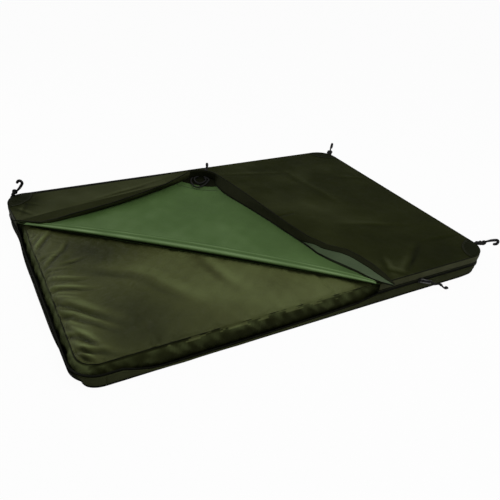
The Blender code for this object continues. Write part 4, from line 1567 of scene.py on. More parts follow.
        piece = self.maker.grid(
            "cover_lining_cloth", 360, 30, shape, OUTLINE.sheet, side=Side.FIXED, thickness=0.0008, closed=True
        )
        self.maker.finish(piece, Finishes.LINING, "lining_cloth", FIXED, ["cover_lining"])

    def tapes(self) -> None:
        """Makes the tray's and the cover's zip tapes."""
        def inset(along: np.ndarray, share: np.ndarray) -> np.ndarray:
            return 0.0019 + 0.0003 * (1 + np.sin(along * 41 + share * 3))

        for name, start, end, low, high, node in (
            ("tray_tape_cloth", ZIP_START, ZIP_END, 0.0100, 0.0273, "tray_zip_tape"),
            ("cover_tape_cloth_left", ZIP_START, FOLD_START - FOLD_GAP, 0.0347, 0.0520, "cover_zip_tape_left"),
            ("cover_tape_cloth_right", FOLD_END + FOLD_GAP, ZIP_END, 0.0347, 0.0520, "cover_zip_tape_right"),
        ):
            tape = self.maker.band(
                name, start, end, low, high, inset, rows=4, thickness=0.0008, sinks=node == "tray_zip_tape"
            )
            self.maker.finish(tape, Finishes.TAPE, "zip_black", FIXED, [node])

    @staticmethod
    def area(piece: Piece) -> float:
        """The piece's flat area, from its weave's coordinates."""
        layer = piece.data.uv_layers[FLAT_MAP].data
        total = 0.0
        for face in piece.data.polygons:
            spots = [layer[loop].uv for loop in face.loop_indices]
            total += abs(sum(a.x * b.y - b.x * a.y for a, b in zip(spots, spots[1:] + spots[:1]))) / 2
        return total


@dataclass(frozen=True)
class Leg:
    """One straight edge of the folded corner, and how its wall stands when the corner is back.

    Each row of a table is a distance along the leg, a distance in from the plan and a height.
    """

    name: str
    start: Spot
    run: Spot
    inward: Spot
    base: tuple[Place, ...]
    top: tuple[Place, ...]

    @property
    def length(self) -> float:
        """How far the leg's wall runs."""
        return self.base[-1][0]

    def line(self, table: tuple[Place, ...], along: np.ndarray) -> tuple[np.ndarray, np.ndarray]:
        """How far in, and how high, a table's line lies."""
        distances, inward, heights = np.array(table).T
        return np.interp(along, distances, inward), np.interp(along, distances, heights)

    def place(self, along: np.ndarray, inward: np.ndarray, height: np.ndarray) -> np.ndarray:
        """Places in the frame."""
        x = self.start[0] + self.run[0] * along + self.inward[0] * inward
        y = self.start[1] + self.run[1] * along + self.inward[1] * inward
        return stack(x, y, height)

    def surface(self, along: np.ndarray, share: np.ndarray, offset: float = 0.0) -> np.ndarray:
        """The wall's middle surface.

        Args:
            along: Distances along the leg.
            share: 0 at the sewn edge, 1 at the teeth.
            offset: How far the surface lies from the wall, on its inner side.

        Returns:
            The places.
        """
        low_in, low_z = self.line(self.base, along)
        top_in, top_z = self.line(self.top, along)
        wave = Ripple(len(self.name), 0.07, 0.0012, 7).at(along, share * 0.02)
        wave = wave * np.sin(math.pi * np.clip(share, 0, 1))
        lean, rise = top_in - low_in, top_z - low_z
        steep = np.hypot(lean, rise)
        out = wave + offset
        inward = low_in + lean * share + out * rise / steep
        return self.place(along, inward, low_z + rise * share - out * lean / steep)

    def bow(self, x: np.ndarray, y: np.ndarray) -> tuple[np.ndarray, np.ndarray]:
        """How far the lining's edge is pushed in beside each place, and how far in the place is."""
        along = (x - self.start[0]) * self.run[0] + (y - self.start[1]) * self.run[1]
        return self.line(self.base, along)[0], self.inside(x, y)

    def inside(self, x: np.ndarray, y: np.ndarray) -> np.ndarray:
        """How far in from the leg each place is."""
        return (x - self.start[0]) * self.inward[0] + (y - self.start[1]) * self.inward[1]


def level(height: float, *rows: Spot) -> tuple[Place, ...]:
    """A table's rows that all lie at one height."""
    return tuple((*row, height) for row in rows)


LEFT_LEG = Leg(
    "left", (-0.55, 0.22), (0.9836, 0.1803), (0.1803, -0.9836),
    base=level(
        0.0628, (0.0, 0.0006), (0.010, 0.0060), (0.02, 0.0180), (0.03, 0.0300), (0.045, 0.0470), (0.06, 0.0560),
        (0.097, 0.0600), (0.152, 0.0610), (0.21, 0.0592), (0.273, 0.0535), (0.348, 0.0440), (0.435, 0.0285),
        (0.495, 0.0160), (0.540, 0.0015),
    ),
    top=(
        (0.0, 0.0030, 0.0650), (0.010, 0.0120, 0.0660), (0.022, 0.0270, 0.0676), (0.034, 0.0420, 0.0690),
        (0.047, 0.0550, 0.0705), (0.091, 0.0655, 0.0745), (0.129, 0.0665, 0.0775), (0.186, 0.0700, 0.0805),
        (0.251, 0.0690, 0.0825), (0.34, 0.0585, 0.0838), (0.425, 0.0440, 0.0846), (0.51, 0.0150, 0.0850),
        (0.540, 0.0018, 0.0856),
    ),
)
RIGHT_LEG = Leg(
    "right_front", (0.05098, 0.26918), (0.1803, -0.9836), (-0.9836, -0.1803),
    base=level(
        0.0628, (0.0, 0.0015), (0.030, 0.022), (0.082, 0.0340), (0.12, 0.0350), (0.207, 0.0315), (0.294, 0.0312),
        (0.385, 0.0342), (0.422, 0.0345), (0.453, 0.0365), (0.487, 0.0415), (0.526, 0.0370), (0.568, 0.0275),
        (0.601, 0.0190), (0.636, 0.0150),
    ) + ((0.661, 0.0060, 0.0625), (0.684, -0.0150, 0.0588)),
    top=(
        (0.0, 0.0018, 0.0856), (0.029, 0.0015, 0.0856), (0.101, 0.0046, 0.0853), (0.175, 0.0085, 0.0845),
        (0.273, 0.0155, 0.0832), (0.36, 0.0210, 0.0818), (0.43, 0.0205, 0.0806), (0.485, 0.0090, 0.0800),
        (0.528, -0.0190, 0.0788), (0.565, -0.0275, 0.0765), (0.61, -0.0305, 0.0725), (0.645, -0.0290, 0.0665),
        (0.684, -0.0215, 0.0596),
    ),
)


@dataclass
class FoldedCorner:
    """The cover's corner, turned back: dark outside down, green lining up, walls standing."""

    maker: ClothMaker
    outside: float = 0.0580
    lining: float = 0.0550
    arc_start: float = 3.5227
    arc_end: float = 3.6170
    arc_overlap: float = 0.004
    wall_low: float = 0.0372
    wall_high: float = 0.0559
    wall_share: float = 0.78
    tape_top: float = 0.93
    tooth_pitch: float = 0.0018
    tooth: Place = (0.0012, 0.0028, 0.0022)
    # The roll's section: shares round it, and how far past the fold and how high each lies
    roll_knots: tuple[Place, ...] = (
        (0.0, -0.048, -0.0010), (0.12, -0.040, 0.0018), (0.25, -0.0330, 0.0050), (0.36, -0.0250, 0.0030),
        (0.46, -0.0165, 0.0058), (0.56, -0.0070, 0.0084), (0.66, -0.0005, 0.0072), (0.76, 0.0020, 0.0042),
        (0.86, 0.0005, 0.0008), (1.0, -0.006, -0.0028),
    )

    def outside_shape(self, u: np.ndarray, v: np.ndarray) -> np.ndarray:
        """The closed corner's outer face."""
        plan = OUTLINE.sheet(u, v)
        x, y = plan.T
        reach = np.maximum(OUTLINE.edge_distance(x, y), 0)
        waves = Ripple(51, 0.20, 0.0006, 9).at(x, y) * np.minimum(1, reach / 0.04)
        return stack(x, y, self.outside - 0.0006 - np.abs(waves))

    def lining_rise(self, x: np.ndarray, y: np.ndarray) -> np.ndarray:
        """How far the lining stands above its plane, for closed places."""
        past = FOLD.past(x, y)
        reach = np.maximum(OUTLINE.edge_distance(x, y) - 0.0018, 0)
        free = np.minimum(1, reach / 0.03) * ease((past - 0.01) / 0.04)
        waves = (Ripple(52, 0.21, 0.0014, 9).at(x, y) + 0.0014) * free
        waves += Ripple(53, 0.07, 0.0003, 9).at(x, y) * free
        return np.maximum(waves, 0)

    def lining_shape(self, u: np.ndarray, v: np.ndarray) -> np.ndarray:
        """The closed corner's lining, in closed places."""
        plan = OUTLINE.sheet(u, v, 0.0019)
        x, y = plan.T
        return stack(x, y, self.lining - self.lining_rise(x, y))

    @staticmethod
    def bow(places: np.ndarray) -> np.ndarray:
        """Pushes the lining in from its two free edges, as its slack walls pull it.

        Args:
            places: Places at rest.

        Returns:
            The pushed places.
        """
        moved = places.copy()
        for leg in (LEFT_LEG, RIGHT_LEG):
            push, inside = leg.bow(*places.T[:2])
            share = np.clip(1 - inside / 0.20, 0, 1) ** 1.5
            moved[:, :2] += (np.maximum(push - 0.0015, 0) * share)[:, None] * np.array(leg.inward)
        before = FOLD.past(*places.T[:2])
        after = FOLD.past(*moved.T[:2])
        moved[:, :2] -= np.maximum(after - 0.25 * before, 0)[:, None] * FOLD.normal
        return moved

    def roll_shape(self, u: np.ndarray, v: np.ndarray) -> np.ndarray:
        """The rolled edge along the fold, at rest.

        Args:
            u: Shares along the fold from the left edge.
            v: Shares round the section, from the lining over the top and under the nose.

        Returns:
            The places.
        """
        first, last = 0.036, FOLD.length - 0.012
        along = first + (last - first) * u
        taper = 0.22 + 0.78 * np.clip(np.sin(math.pi * np.clip(u, 0.0, 1.0)), 0, 1) ** 0.45
        base = 2 * FOLD.height - self.lining
        line = 0.0035 + 0.0095 * (2 * u - 1) ** 2
        knots, *columns = np.array(self.roll_knots).T
        past, rise = (np.interp(v, knots, column) for column in columns)
        wobble = Ripple(54, 0.16, 0.0012, 7).at(along, v * 0.01) * np.clip(rise / 0.006, 0, 1)
        across = line + past * taper + wobble * 0.7
        x = FOLD.left[0] + FOLD.direction[0] * along + FOLD.normal[0] * across
        y = FOLD.left[1] + FOLD.direction[1] * along + FOLD.normal[1] * across
        return stack(x, y, base + rise * taper + wobble * 0.3)

    def build(self) -> None:
        """Makes the folded corner's cloth."""
        outside = self.maker.grid(
            "corner_top_cloth", 540, 56, self.outside_shape, OUTLINE.sheet, side=Side.FOLDED, thickness=0.0011,
            closed=True, turned=True,
        )
        self.maker.finish(outside, Finishes.COVER, "cover_cloth", FOLDED, ["corner_top_panel"])
        CoverCloth.area(outside)
        lining = self.maker.grid(
            "corner_lining_cloth", 540, 56, self.lining_shape, OUTLINE.sheet, side=Side.FOLDED, closed=True,
            turned=True,
        )
        self.maker.face(lining, UP)
        self.maker.move(lining, self.bow(self.maker.places(lining)))
        self.maker.thicken(lining, 0.0008)
        self.maker.finish(lining, Finishes.LINING, "lining_cloth", FOLDED, ["corner_lining"])
        self.maker.paint_light_and_shade(lining, self.lining_painted_light_and_shade(self.maker.places(lining)))
        roll = self.maker.grid(
            "fold_roll_cloth", 170, 27, self.roll_shape, strip_weave(FOLD.length, 0.05), thickness=0.0008
        )
        self.maker.face(roll, UP)
        self.maker.finish(roll, Finishes.LINING, "lining_cloth", FOLDED, ["cover_fold_roll"])
        shares = self.maker.weave_spots(roll) / np.array([FOLD.length, 0.05])
        self.maker.paint_light_and_shade(roll, self.roll_painted_light_and_shade(*shares.T))
        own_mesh(roll)
        for leg in (LEFT_LEG, RIGHT_LEG):
            self.leg_walls(leg)
        self.corner_arc()
        self.inner_patch()

    @staticmethod
    def lining_painted_light_and_shade(places: np.ndarray) -> np.ndarray:
        """Painted light and shade on the lining: patches of sheen, painted shadow beside the two walls, and a
        painted highlight towards the fold.
        """
        x, y, _ = places.T
        total = Ripple(56, 0.17, 0.07, 9).at(x, y) + Ripple(57, 0.05, 0.03, 9).at(x, y)
        # Painted shadow of the walls on the lining beside them
        total = total - 0.45 * np.exp(-np.maximum(RIGHT_LEG.inside(x, y) - 0.03, 0) / 0.045)
        total = total - 0.20 * np.exp(-np.maximum(LEFT_LEG.inside(x, y) - 0.05, 0) / 0.03)
        return total + 0.20 * np.exp(FOLD.past(x, y) / 0.07)

    @staticmethod
    def roll_painted_light_and_shade(along: np.ndarray, around: np.ndarray) -> np.ndarray:
        """Painted highlights on the roll's two ridges, and painted shade between and under them."""
        upper, lower, groove = (
            hump(around - middle, width) for middle, width in ((0.27, 0.035), (0.575, 0.075), (0.40, 0.045))
        )
        under = ease((around - 0.68) / 0.12)
        uneven = 1 + Ripple(58, 0.11, 0.30, 7).at(along, around * 0.1)
        return (0.45 * upper + 0.70 * lower) * uneven - 0.12 * groove - 0.95 * under

    def leg_walls(self, leg: Leg) -> None:
        """Makes one leg's wall, the tape inside it and, on the right, its pale coating.

        Args:
            leg: The leg.
        """
        last = leg.length
        right = leg is RIGHT_LEG
        bare = 0.415

        def tape_start(along: np.ndarray) -> np.ndarray:
            if not right:
                return 0.35 + along * 0
            return np.interp(along, (0.0, bare, 0.46, 0.55, 0.684), (0.02, 0.02, 0.50, 0.66, 0.60))

        def wall(u: np.ndarray, v: np.ndarray) -> np.ndarray:
            return leg.surface(last * u, v * self.wall_share)

        def inside(u: np.ndarray, v: np.ndarray) -> np.ndarray:
            return leg.surface(bare + (last - bare) * u, 0.02 + 0.75 * v, 0.0014)

        def tape(u: np.ndarray, v: np.ndarray) -> np.ndarray:
            low = tape_start(last * u)
            return leg.surface(last * u, low + (self.tape_top - low) * v, 0.0022)

        tape_finish = Finishes.FLAP_TAPE if right else Finishes.COVER
        pieces = [
            (f"corner_wall_{leg.name}", wall, Finishes.COVER, "cover_cloth", 0.0011, last),
            (f"corner_tape_{leg.name}", tape, tape_finish, "zip_black", 0.0007, last),
        ]
        if right:
            coating = ("corner_wall_coating", inside, Finishes.WALL_INSIDE, "cover_cloth", 0.0003, last - bare)
            pieces.append(coating)
        for name, shape, finish, slot, thickness, length in pieces:
            piece = self.maker.grid(name, round(length / 0.005), 8, shape, strip_weave(last, 0.02))
            self.maker.face(piece, (-leg.inward[0], -leg.inward[1], 0.0))
            if not right:
                # The left leg's pieces get painted sheen
                x, y, z = self.maker.places(piece).T
                self.maker.paint_light_and_shade(piece, 0.62 + Ripple(62, 0.08, 0.16, 9).at(x, y + 3 * z))
            self.maker.thicken(piece, thickness)
            self.maker.finish(piece, finish, slot, FOLDED)
            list(leg.inward)
            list(leg.start)
            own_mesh(piece)
        self.leg_edges(leg)

    def leg_edges(self, leg: Leg) -> None:
        """Makes the teeth along the free edge of one leg's wall, and the seam at its foot.

        Args:
            leg: The leg.
        """
        def path(share: float, offset: float) -> Path:
            return lambda u: leg.surface(leg.length * u, np.full(len(u), share), offset)

        count = int(leg.length / self.tooth_pitch)
        shares = (np.arange(count) + 0.5) / count
        chain = self.maker.bars(f"corner_teeth_{leg.name}", path(0.96, 0.0012), shares, self.tooth)
        self.maker.finish(chain, Finishes.TEETH, "zip_black", FOLDED)
        # The right leg's seam cord is thicker, so that its dark line also stands in for the shade at that wall's
        # foot: partly painted shadow
        radius = 0.0016 if leg is RIGHT_LEG else 0.0010
        seam = self.maker.bead(f"corner_foot_seam_{leg.name}", path(0.06, 0.0016), leg.length, radius, sides=6)
        self.maker.finish(seam, Finishes.BINDING, "cover_cloth", FOLDED)
        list(leg.inward)
        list(leg.start)
        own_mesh(seam)
        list(leg.inward)
        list(leg.start)
        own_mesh(chain)

    def corner_arc(self) -> None:
        """Makes the wall and the tape round the corner between the two legs."""
        start, end = self.arc_start - self.arc_overlap, self.arc_end + self.arc_overlap
        wall = self.maker.band(
            "corner_wall_round", start, end, self.wall_low, self.wall_high,
            lambda along, share: 0.0016 - 0.0008 * np.sin(math.pi * share), rows=6, cell=0.003, turned=True,
            thickness=0.0011,
        )
        self.maker.finish(wall, Finishes.COVER_WALL, "cover_cloth", FOLDED, ["corner_side_wall"])
        tape = self.maker.band(
            "corner_tape_round", start, end, 0.0338, 0.0545, lambda along, share: 0.0034 + along * 0, rows=6,
            cell=0.003, turned=True, thickness=0.0007,
        )
        self.maker.finish(tape, Finishes.FLAP_TAPE, "zip_black", FOLDED, ["corner_zip_tape"])

    def inner_patch(self) -> None:
        """Makes the patch inside the corner, dark partly as painted shade in its hollow, with its curved seam."""
        corner = -np.array(OUTLINE.half)

        def shape(u: np.ndarray, v: np.ndarray) -> np.ndarray:
            x = corner[0] + 0.0045 + 0.13 * u
            y = corner[1] + 0.0045 + 0.13 * v
            return stack(x, y, self.lining - 0.0012 - self.lining_rise(x, y))

        piece = self.maker.grid("corner_inner_patch", 52, 52, shape, strip_weave(0.12, 0.12))
        outer = [heading(math.pi + math.pi / 2 * step / 12) for step in range(13)]
        self.maker.trim(piece, corner + OUTLINE.radius, 0.0555, outer)
        self.maker.trim(piece, corner, 0.097, [heading(math.radians(5 + 8 * step)) for step in range(11)])
        self.maker.move(piece, self.bow(FOLD.turned(self.maker.places(piece))))
        self.maker.face(piece, UP)
        self.maker.thicken(piece, 0.0007)
        self.maker.finish(piece, Finishes.INNER_PATCH_SHADED, "patch_cloth", FOLDED)

        def seam(share: np.ndarray) -> np.ndarray:
            turn = np.radians(2 + 86 * share)
            x, y = corner[0] + 0.122 * np.cos(turn), corner[1] + 0.122 * np.sin(turn)
            return self.bow(FOLD.turned(stack(x, y, self.lining - 0.0004 - self.lining_rise(x, y))))

        line = self.maker.bead("corner_inner_seam", seam, 0.19, 0.0007, sides=6)
        # The seam takes the pale coating's colour, as a painted highlight along it
        self.maker.finish(line, Finishes.WALL_INSIDE, "lining_cloth", FOLDED)
        self.elastic_end("corner_elastic_end_long", (-0.4970, -0.3230), (0.0420, 0.0290), 3.5)
        self.elastic_end("corner_elastic_end_short", (-0.5050, -0.3300), (0.0300, 0.0180), 4.0)

    def elastic_end(self, name: str, middle: Spot, size: Spot, start: float) -> None:
        """Makes one slack bow of elastic that lies over the patch inside the corner.

        Args:
            name: The piece's name.
            middle: The bow's middle on the closed corner.
            size: Half its length and half its breadth.
            start: The turn at which it begins.
        """
        def path(share: np.ndarray) -> np.ndarray:
            turn = start + 5.0 * share
            ahead, aside = size[0] * np.cos(turn), size[1] * np.sin(turn)
            x = middle[0] + 0.777 * ahead - 0.629 * aside
            y = middle[1] + 0.629 * ahead + 0.777 * aside
            lift = 0.0040 + 0.0028 * np.sin(math.pi * share)
            return self.bow(FOLD.turned(stack(x, y, self.lining - lift - self.lining_rise(x, y))))

        piece = self.maker.bead(name, path, 5.0 * sum(size) / 2, 0.0023, sides=12, cell=0.002)
        self.maker.finish(piece, Finishes.ELASTIC, "elastic", FOLDED)


@dataclass
class ZipChain:
    """The zip's two halves: rows of small teeth on fine cords."""

    maker: ClothMaker
    inset: float = 0.0023
    pitch: float = 0.0018
    tooth: Place = (0.0012, 0.0028, 0.0024)
    cover_height: float = 0.0331
    corner_start: float = 3.5187
    corner_end: float = 3.6210

    def half(
        self, name: str, start: float, end: float, height: float, body: str, node: str, folded: bool = False
    ) -> None:
        """Makes one half's teeth.

        Args:
            name: The piece's name.
            start: Where it starts round the outline.
            end: Where it ends.
            height: The teeth's middle height.
            body: The body that it moves with.
            node: The CAD node that it stands for.
            folded: Whether it is on the folded corner.
        """
        span = end - start

        def path(share: np.ndarray) -> np.ndarray:
            along = start + span * share
            places, _ = OUTLINE.walk(along, self.inset)
            line = stack(*places.T, OUTLINE.sunk(along, height) if node == "tray_zip_chain" else height)
            return FOLD.turned(line) if folded else line

        count = int(span / self.pitch)
        piece = self.maker.bars(name, path, (np.arange(count) + 0.5) / count, self.tooth)
        # The closed stretch on the right takes the lighter copy of the teeth: painted light
        finish = Finishes.TEETH_LIT if node == "cover_zip_chain_right" else Finishes.TEETH
        self.maker.finish(piece, finish, "zip_black", body, [node])
        core = self.maker.bead(f"{name}_cord", path, span, 0.0009, sides=6)
        self.maker.finish(core, Finishes.TAPE, "zip_black", body)

    def build(self) -> None:
        """Makes every stretch of the zip's teeth."""
        self.half("tray_zip_teeth", ZIP_START, ZIP_END, 0.0289, FIXED, "tray_zip_chain")
        for name, start, end, node in (
            ("cover_zip_teeth_left", ZIP_START, FOLD_START - FOLD_GAP, "cover_zip_chain_left"),
            ("cover_zip_teeth_right", FOLD_END + FOLD_GAP, ZIP_END, "cover_zip_chain_right"),
        ):
            self.half(name, start, end, self.cover_height, FIXED, node)
        self.half(
            "corner_zip_teeth", self.corner_start, self.corner_end, self.cover_height, FOLDED, "corner_zip_chain",
            folded=True,
        )
        LOG.info("the zip runs %.2f m round the mat", ZIP_END - ZIP_START)


@dataclass
class CornerPatch:
    """A patch of tougher cloth at a corner of the cover, with its stitched border."""

    maker: ClothMaker
    cover: CoverCloth
    name: str
    signs: Spot
    side: float = 0.13
    reach: float = 0.074
    inset: float = 0.004
    lift: float = 0.0008

    def build(self) -> None:
        """Makes the patch."""
        folded = self.name == FOLDED
        diagonal = np.array(self.signs) / math.sqrt(2)
        corner = np.array(self.signs) * OUTLINE.half

        def shape(u: np.ndarray, v: np.ndarray) -> np.ndarray:
            x = self.signs[0] * (OUTLINE.half[0] - self.inset - self.side * u)
            y = self.signs[1] * (OUTLINE.half[1] - self.inset - self.side * v)
            if folded:
                return stack(x, y, self.cover.height + 0.0002)
            return stack(x, y, self.cover.surface(x, y) + self.lift)

        weave = strip_weave(self.side, self.side)
        piece = self.maker.grid(f"patch_cloth_{self.name}", 40, 40, shape, weave)
        turns = np.radians(np.linspace(-42, 42, 13))
        spreads = [np.array([heading(turn), heading(turn + math.pi / 2)]).T for turn in turns]
        self.maker.trim(piece, corner, self.reach, [spread @ -diagonal for spread in spreads])
        centre = corner - OUTLINE.radius * np.array(self.signs)
        start = math.atan2(self.signs[1], self.signs[0]) - math.pi / 4
        ways = [heading(start + math.pi / 2 * step / 16) for step in range(17)]
        self.maker.trim(piece, centre, OUTLINE.radius - self.inset, ways)
        self.maker.face(piece, UP)
        if folded:
            self.maker.move(piece, FOLD.turned(self.maker.places(piece)))
        self.maker.thicken(piece, 0.0007)
        self.border(corner, diagonal, folded)
        body = FOLDED if folded else FIXED
        self.maker.finish(piece, Finishes.PATCH, "patch_cloth", body, [f"corner_patch_{self.name}"])

    def border(self, corner: np.ndarray, diagonal: np.ndarray, folded: bool) -> None:
        """Makes the two rows of stitches along the patch's inner edge.

        Args:
            corner: Where the mat's straight edges would meet.
            diagonal: The direction from the mat's middle to the corner.
            folded: Whether the patch is on the folded corner.
        """
        across = np.array([-diagonal[1], diagonal[0]])
        half = math.radians(38)
        for row, offset in enumerate((0.0022, 0.0052)):
            def path(share: np.ndarray, offset: float = offset) -> np.ndarray:
                turn = ((2 * share - 1) * half)[:, None]
                spots = corner + (self.reach - offset) * (across * np.sin(turn) - diagonal * np.cos(turn))
                x, y = spots.T
                if folded:
                    return FOLD.turned(stack(x, y, self.cover.height + 0.0003))
                return stack(x, y, self.cover.surface(x, y) + self.lift + 0.0001)

            piece = self.maker.stitches(f"patch_stitches_{self.name}_{row + 1}", path, 2 * half * self.reach)
            self.maker.finish(piece, Finishes.THREAD, "patch_cloth", FOLDED if folded else FIXED)


@dataclass
class SmallParts:
    """Webbing tabs, elastic loops, hooks and the zip's metal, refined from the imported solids."""

    maker: ClothMaker
    nodes: dict[str, Piece]
    # How far past its eye a hook starts to grow, and over what length it comes to its full growth
    shank: Spot = (0.0120, 0.005)
    # The ring round a hook's shank: how far past the eye it is, its breadth and its height
    collar: Place = (0.0205, 0.0028, 0.0022)
    knot_size: Place = (0.0100, 0.0092, 0.0046)
    corners: tuple[str, ...] = ("back_left", "back_right", "front_right", FOLDED)
    pull_places: tuple[Place, ...] = (
        (0.3235, -0.3884, 0.0275), (0.3350, -0.3935, 0.0245), (0.3460, -0.3995, 0.0220), (0.3570, -0.4050, 0.0165),
        (0.3670, -0.4100, 0.0125), (0.3750, -0.4130, 0.0085),
    )

    def copied(self, node: str) -> bmesh.types.BMesh:
        """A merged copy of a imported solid, at its place in the frame."""
        source = self.nodes[node]
        form = bmesh.new()
        form.from_mesh(source.data)
        form.transform(source.matrix_world)
        bmesh.ops.remove_doubles(form, verts=form.verts, dist=5e-6)
        bmesh.ops.dissolve_limit(form, angle_limit=math.radians(1), verts=form.verts, edges=form.edges)
        return form

    def spots(self, node: str) -> np.ndarray:
        """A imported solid's vertices, as rows of x, y and z in the frame."""
        source = self.nodes[node]
        return np.array([source.matrix_world @ vertex.co for vertex in source.data.vertices])

    def refined(
        self, node: str, finish: object, slot: str, body: str, bevel: float = 0.0, rounds: int = 0,
        swell: float = 0.0, away_from: Vector | None = None, change: Matrix | None = None,
    ) -> Piece:
        """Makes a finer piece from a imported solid.

        Args:
            node: The solid's name.
            finish: The piece's finish.
            slot: The record's material slot.
            body: The body that it moves with.
            bevel: The width of the rounding on its sharp edges.
            rounds: Levels of subdivision.
            swell: How much thicker it grows.
            away_from: The place round which it doesn't grow.
            change: What its form is first changed by.

        Returns:
            The piece.
        """
        form = self.copied(node)
        if change:
            form.transform(change)
        if bevel:
            sharp = [edge for edge in form.edges if edge.is_manifold and edge.calc_face_angle() > math.radians(35)]
            bmesh.ops.bevel(
                form, geom=sharp, offset=bevel, offset_type="OFFSET", segments=2, profile=0.5, affect="EDGES",
                material=-1, clamp_overlap=True,
            )
        self.maker.face_outward(form)
        if swell:
            form.normal_update()
            origin = away_from or Vector((0, 0, -1))
            near = min((vertex.co - origin).length for vertex in form.verts)
            for vertex in form.verts:
                reach = (vertex.co - origin).length - near
                share = min(1.0, max(0.25, (reach - self.shank[0]) / self.shank[1])) if away_from else 1.0
                collar = hump(reach - self.collar[0], self.collar[1]) if away_from else 0.0
                vertex.co += vertex.normal * (swell * share + self.collar[2] * collar)
        piece = self.maker.from_form(f"{node}_piece", form)
        if rounds:
            modifier = piece.modifiers.new("rounding", "SUBSURF")
            modifier.levels = modifier.render_levels = rounds
        self.maker.finish(piece, finish, slot, body, [node])
        return piece

    def knot(self, corner: str) -> None:
        """Makes the lump of tied elastic at the foot of a corner's loop."""
        loop, hook = (self.spots(f"{kind}_{corner}") for kind in ("elastic_loop", "hook"))
        middle = loop.mean(axis=0)
        normal = np.linalg.svd(loop - middle)[2][2]
        forward = hook.mean(axis=0) - middle
        forward -= normal * (forward @ normal)
        forward /= np.linalg.norm(forward)
        reach = (loop - middle) @ forward
        foot = middle + forward * (reach.min() + 0.0018 + 0.0128)
        across = np.cross(normal, forward)
        turn = Matrix((forward, across, normal)).transposed().to_4x4()
        form = bmesh.new()
        bmesh.ops.create_uvsphere(form, u_segments=28, v_segments=16, radius=1.0)
        for vertex in form.verts:
            around = math.atan2(vertex.co.z, vertex.co.y)
            vertex.co *= 1 + 0.14 * math.sin(3 * around + 7 * vertex.co.x)
        form.transform(Matrix.Translation(Vector(foot)) @ turn @ Matrix.Diagonal((*self.knot_size, 1.0)))
        piece = self.maker.from_form(f"elastic_knot_{corner}", form)
        self.maker.finish(piece, Finishes.ELASTIC, "elastic", f"{corner}_hook")

    def pull_cord(self) -> None:
        """Makes the knotted cord of the zip's pull, and its knotted end."""
        places = np.array(self.pull_places)

        def centre(share: np.ndarray) -> np.ndarray:
            rows = [np.interp(share, np.linspace(0, 1, len(places)), places[:, axis]) for axis in range(3)]
            line = np.stack(rows, axis=-1)
            line[:, 2] += 0.0026 * np.sin(4.5 * math.pi * share) * np.sqrt(np.maximum(np.sin(math.pi * share), 0))
            return line

        for node, start, end, finish, slot in (
            ("zip_pull_cord", 0.0, 0.74, Finishes.ELASTIC, "elastic"),
            ("zip_pull_grip", 0.72, 1.0, Finishes.PLASTIC, "hook_plastic"),
        ):
            def shape(u: np.ndarray, v: np.ndarray, start: float = start, end: float = end) -> np.ndarray:
                share = start + (end - start) * u
                run = centre(np.minimum(share + 0.01, 1)) - centre(np.maximum(share - 0.01, 0))
                run /= np.linalg.norm(run, axis=1)[:, None]
                side = np.cross(run, (0, 0, 1.0))
                side /= np.linalg.norm(side, axis=1)[:, None]
                lumps = sum(hump(share - middle, 0.055) for middle in (0.30, 0.58))
                radius = 0.0019 + 0.0018 * lumps + 0.0024 * hump(share - 0.88, 0.09)
                radius = radius * np.clip(16 * u * (1 - u) * 4, 0, 1) ** 0.5
                turn = 2 * math.pi * v
                ring = np.cos(turn)[:, None] * side + np.sin(turn)[:, None] * np.cross(side, run)
                return centre(share) + radius[:, None] * ring

            piece = self.maker.grid(f"{node}_piece", 60, 14, shape, strip_weave(0.06, 0.01), closed=True)
            self.maker.rework(piece, self.maker.face_outward)
            self.maker.finish(piece, finish, slot, "pull_cord", [node])

    @property
    def tab_change(self) -> Matrix:
        """Makes the pull tab longer and lets it hang a little, about the pin that it swings on."""
        pin = Vector((0.3060, -0.3816, 0.0310))
        hang = Matrix.Rotation(math.radians(14), 4, "Y")
        return Matrix.Translation(pin) @ hang @ Matrix.Diagonal((1.42, 1.25, 1.35, 1.0)) @ Matrix.Translation(-pin)

    def tab_inlay(self) -> None:
        """Makes the dark inlay in the pull tab, so that the metal shows as a bright rim."""
        form = self.copied("zip_pull_tab")
        form.transform(self.tab_change)
        spots = np.array([vertex.co[:] for vertex in form.verts])
        form.free()
        middle = (spots.min(axis=0) + spots.max(axis=0)) / 2
        axes = np.linalg.svd(spots - spots.mean(axis=0), full_matrices=False)[2]
        if np.linalg.det(axes) < 0:
            axes[2] = -axes[2]
        reach = np.abs((spots - middle) @ axes.T).max(axis=0)
        inlay = bmesh.new()
        bmesh.ops.create_uvsphere(inlay, u_segments=24, v_segments=12, radius=1.0)
        turn = Matrix(axes.tolist()).transposed().to_4x4()
        size = Matrix.Diagonal((0.78 * reach[0], 0.64 * reach[1], reach[2] + 0.0006, 1.0))
        inlay.transform(Matrix.Translation(Vector(middle)) @ turn @ size)
        piece = self.maker.from_form("zip_pull_tab_inlay", inlay)
        self.maker.finish(piece, Finishes.PLASTIC, "zip_metal", "pull_tab")

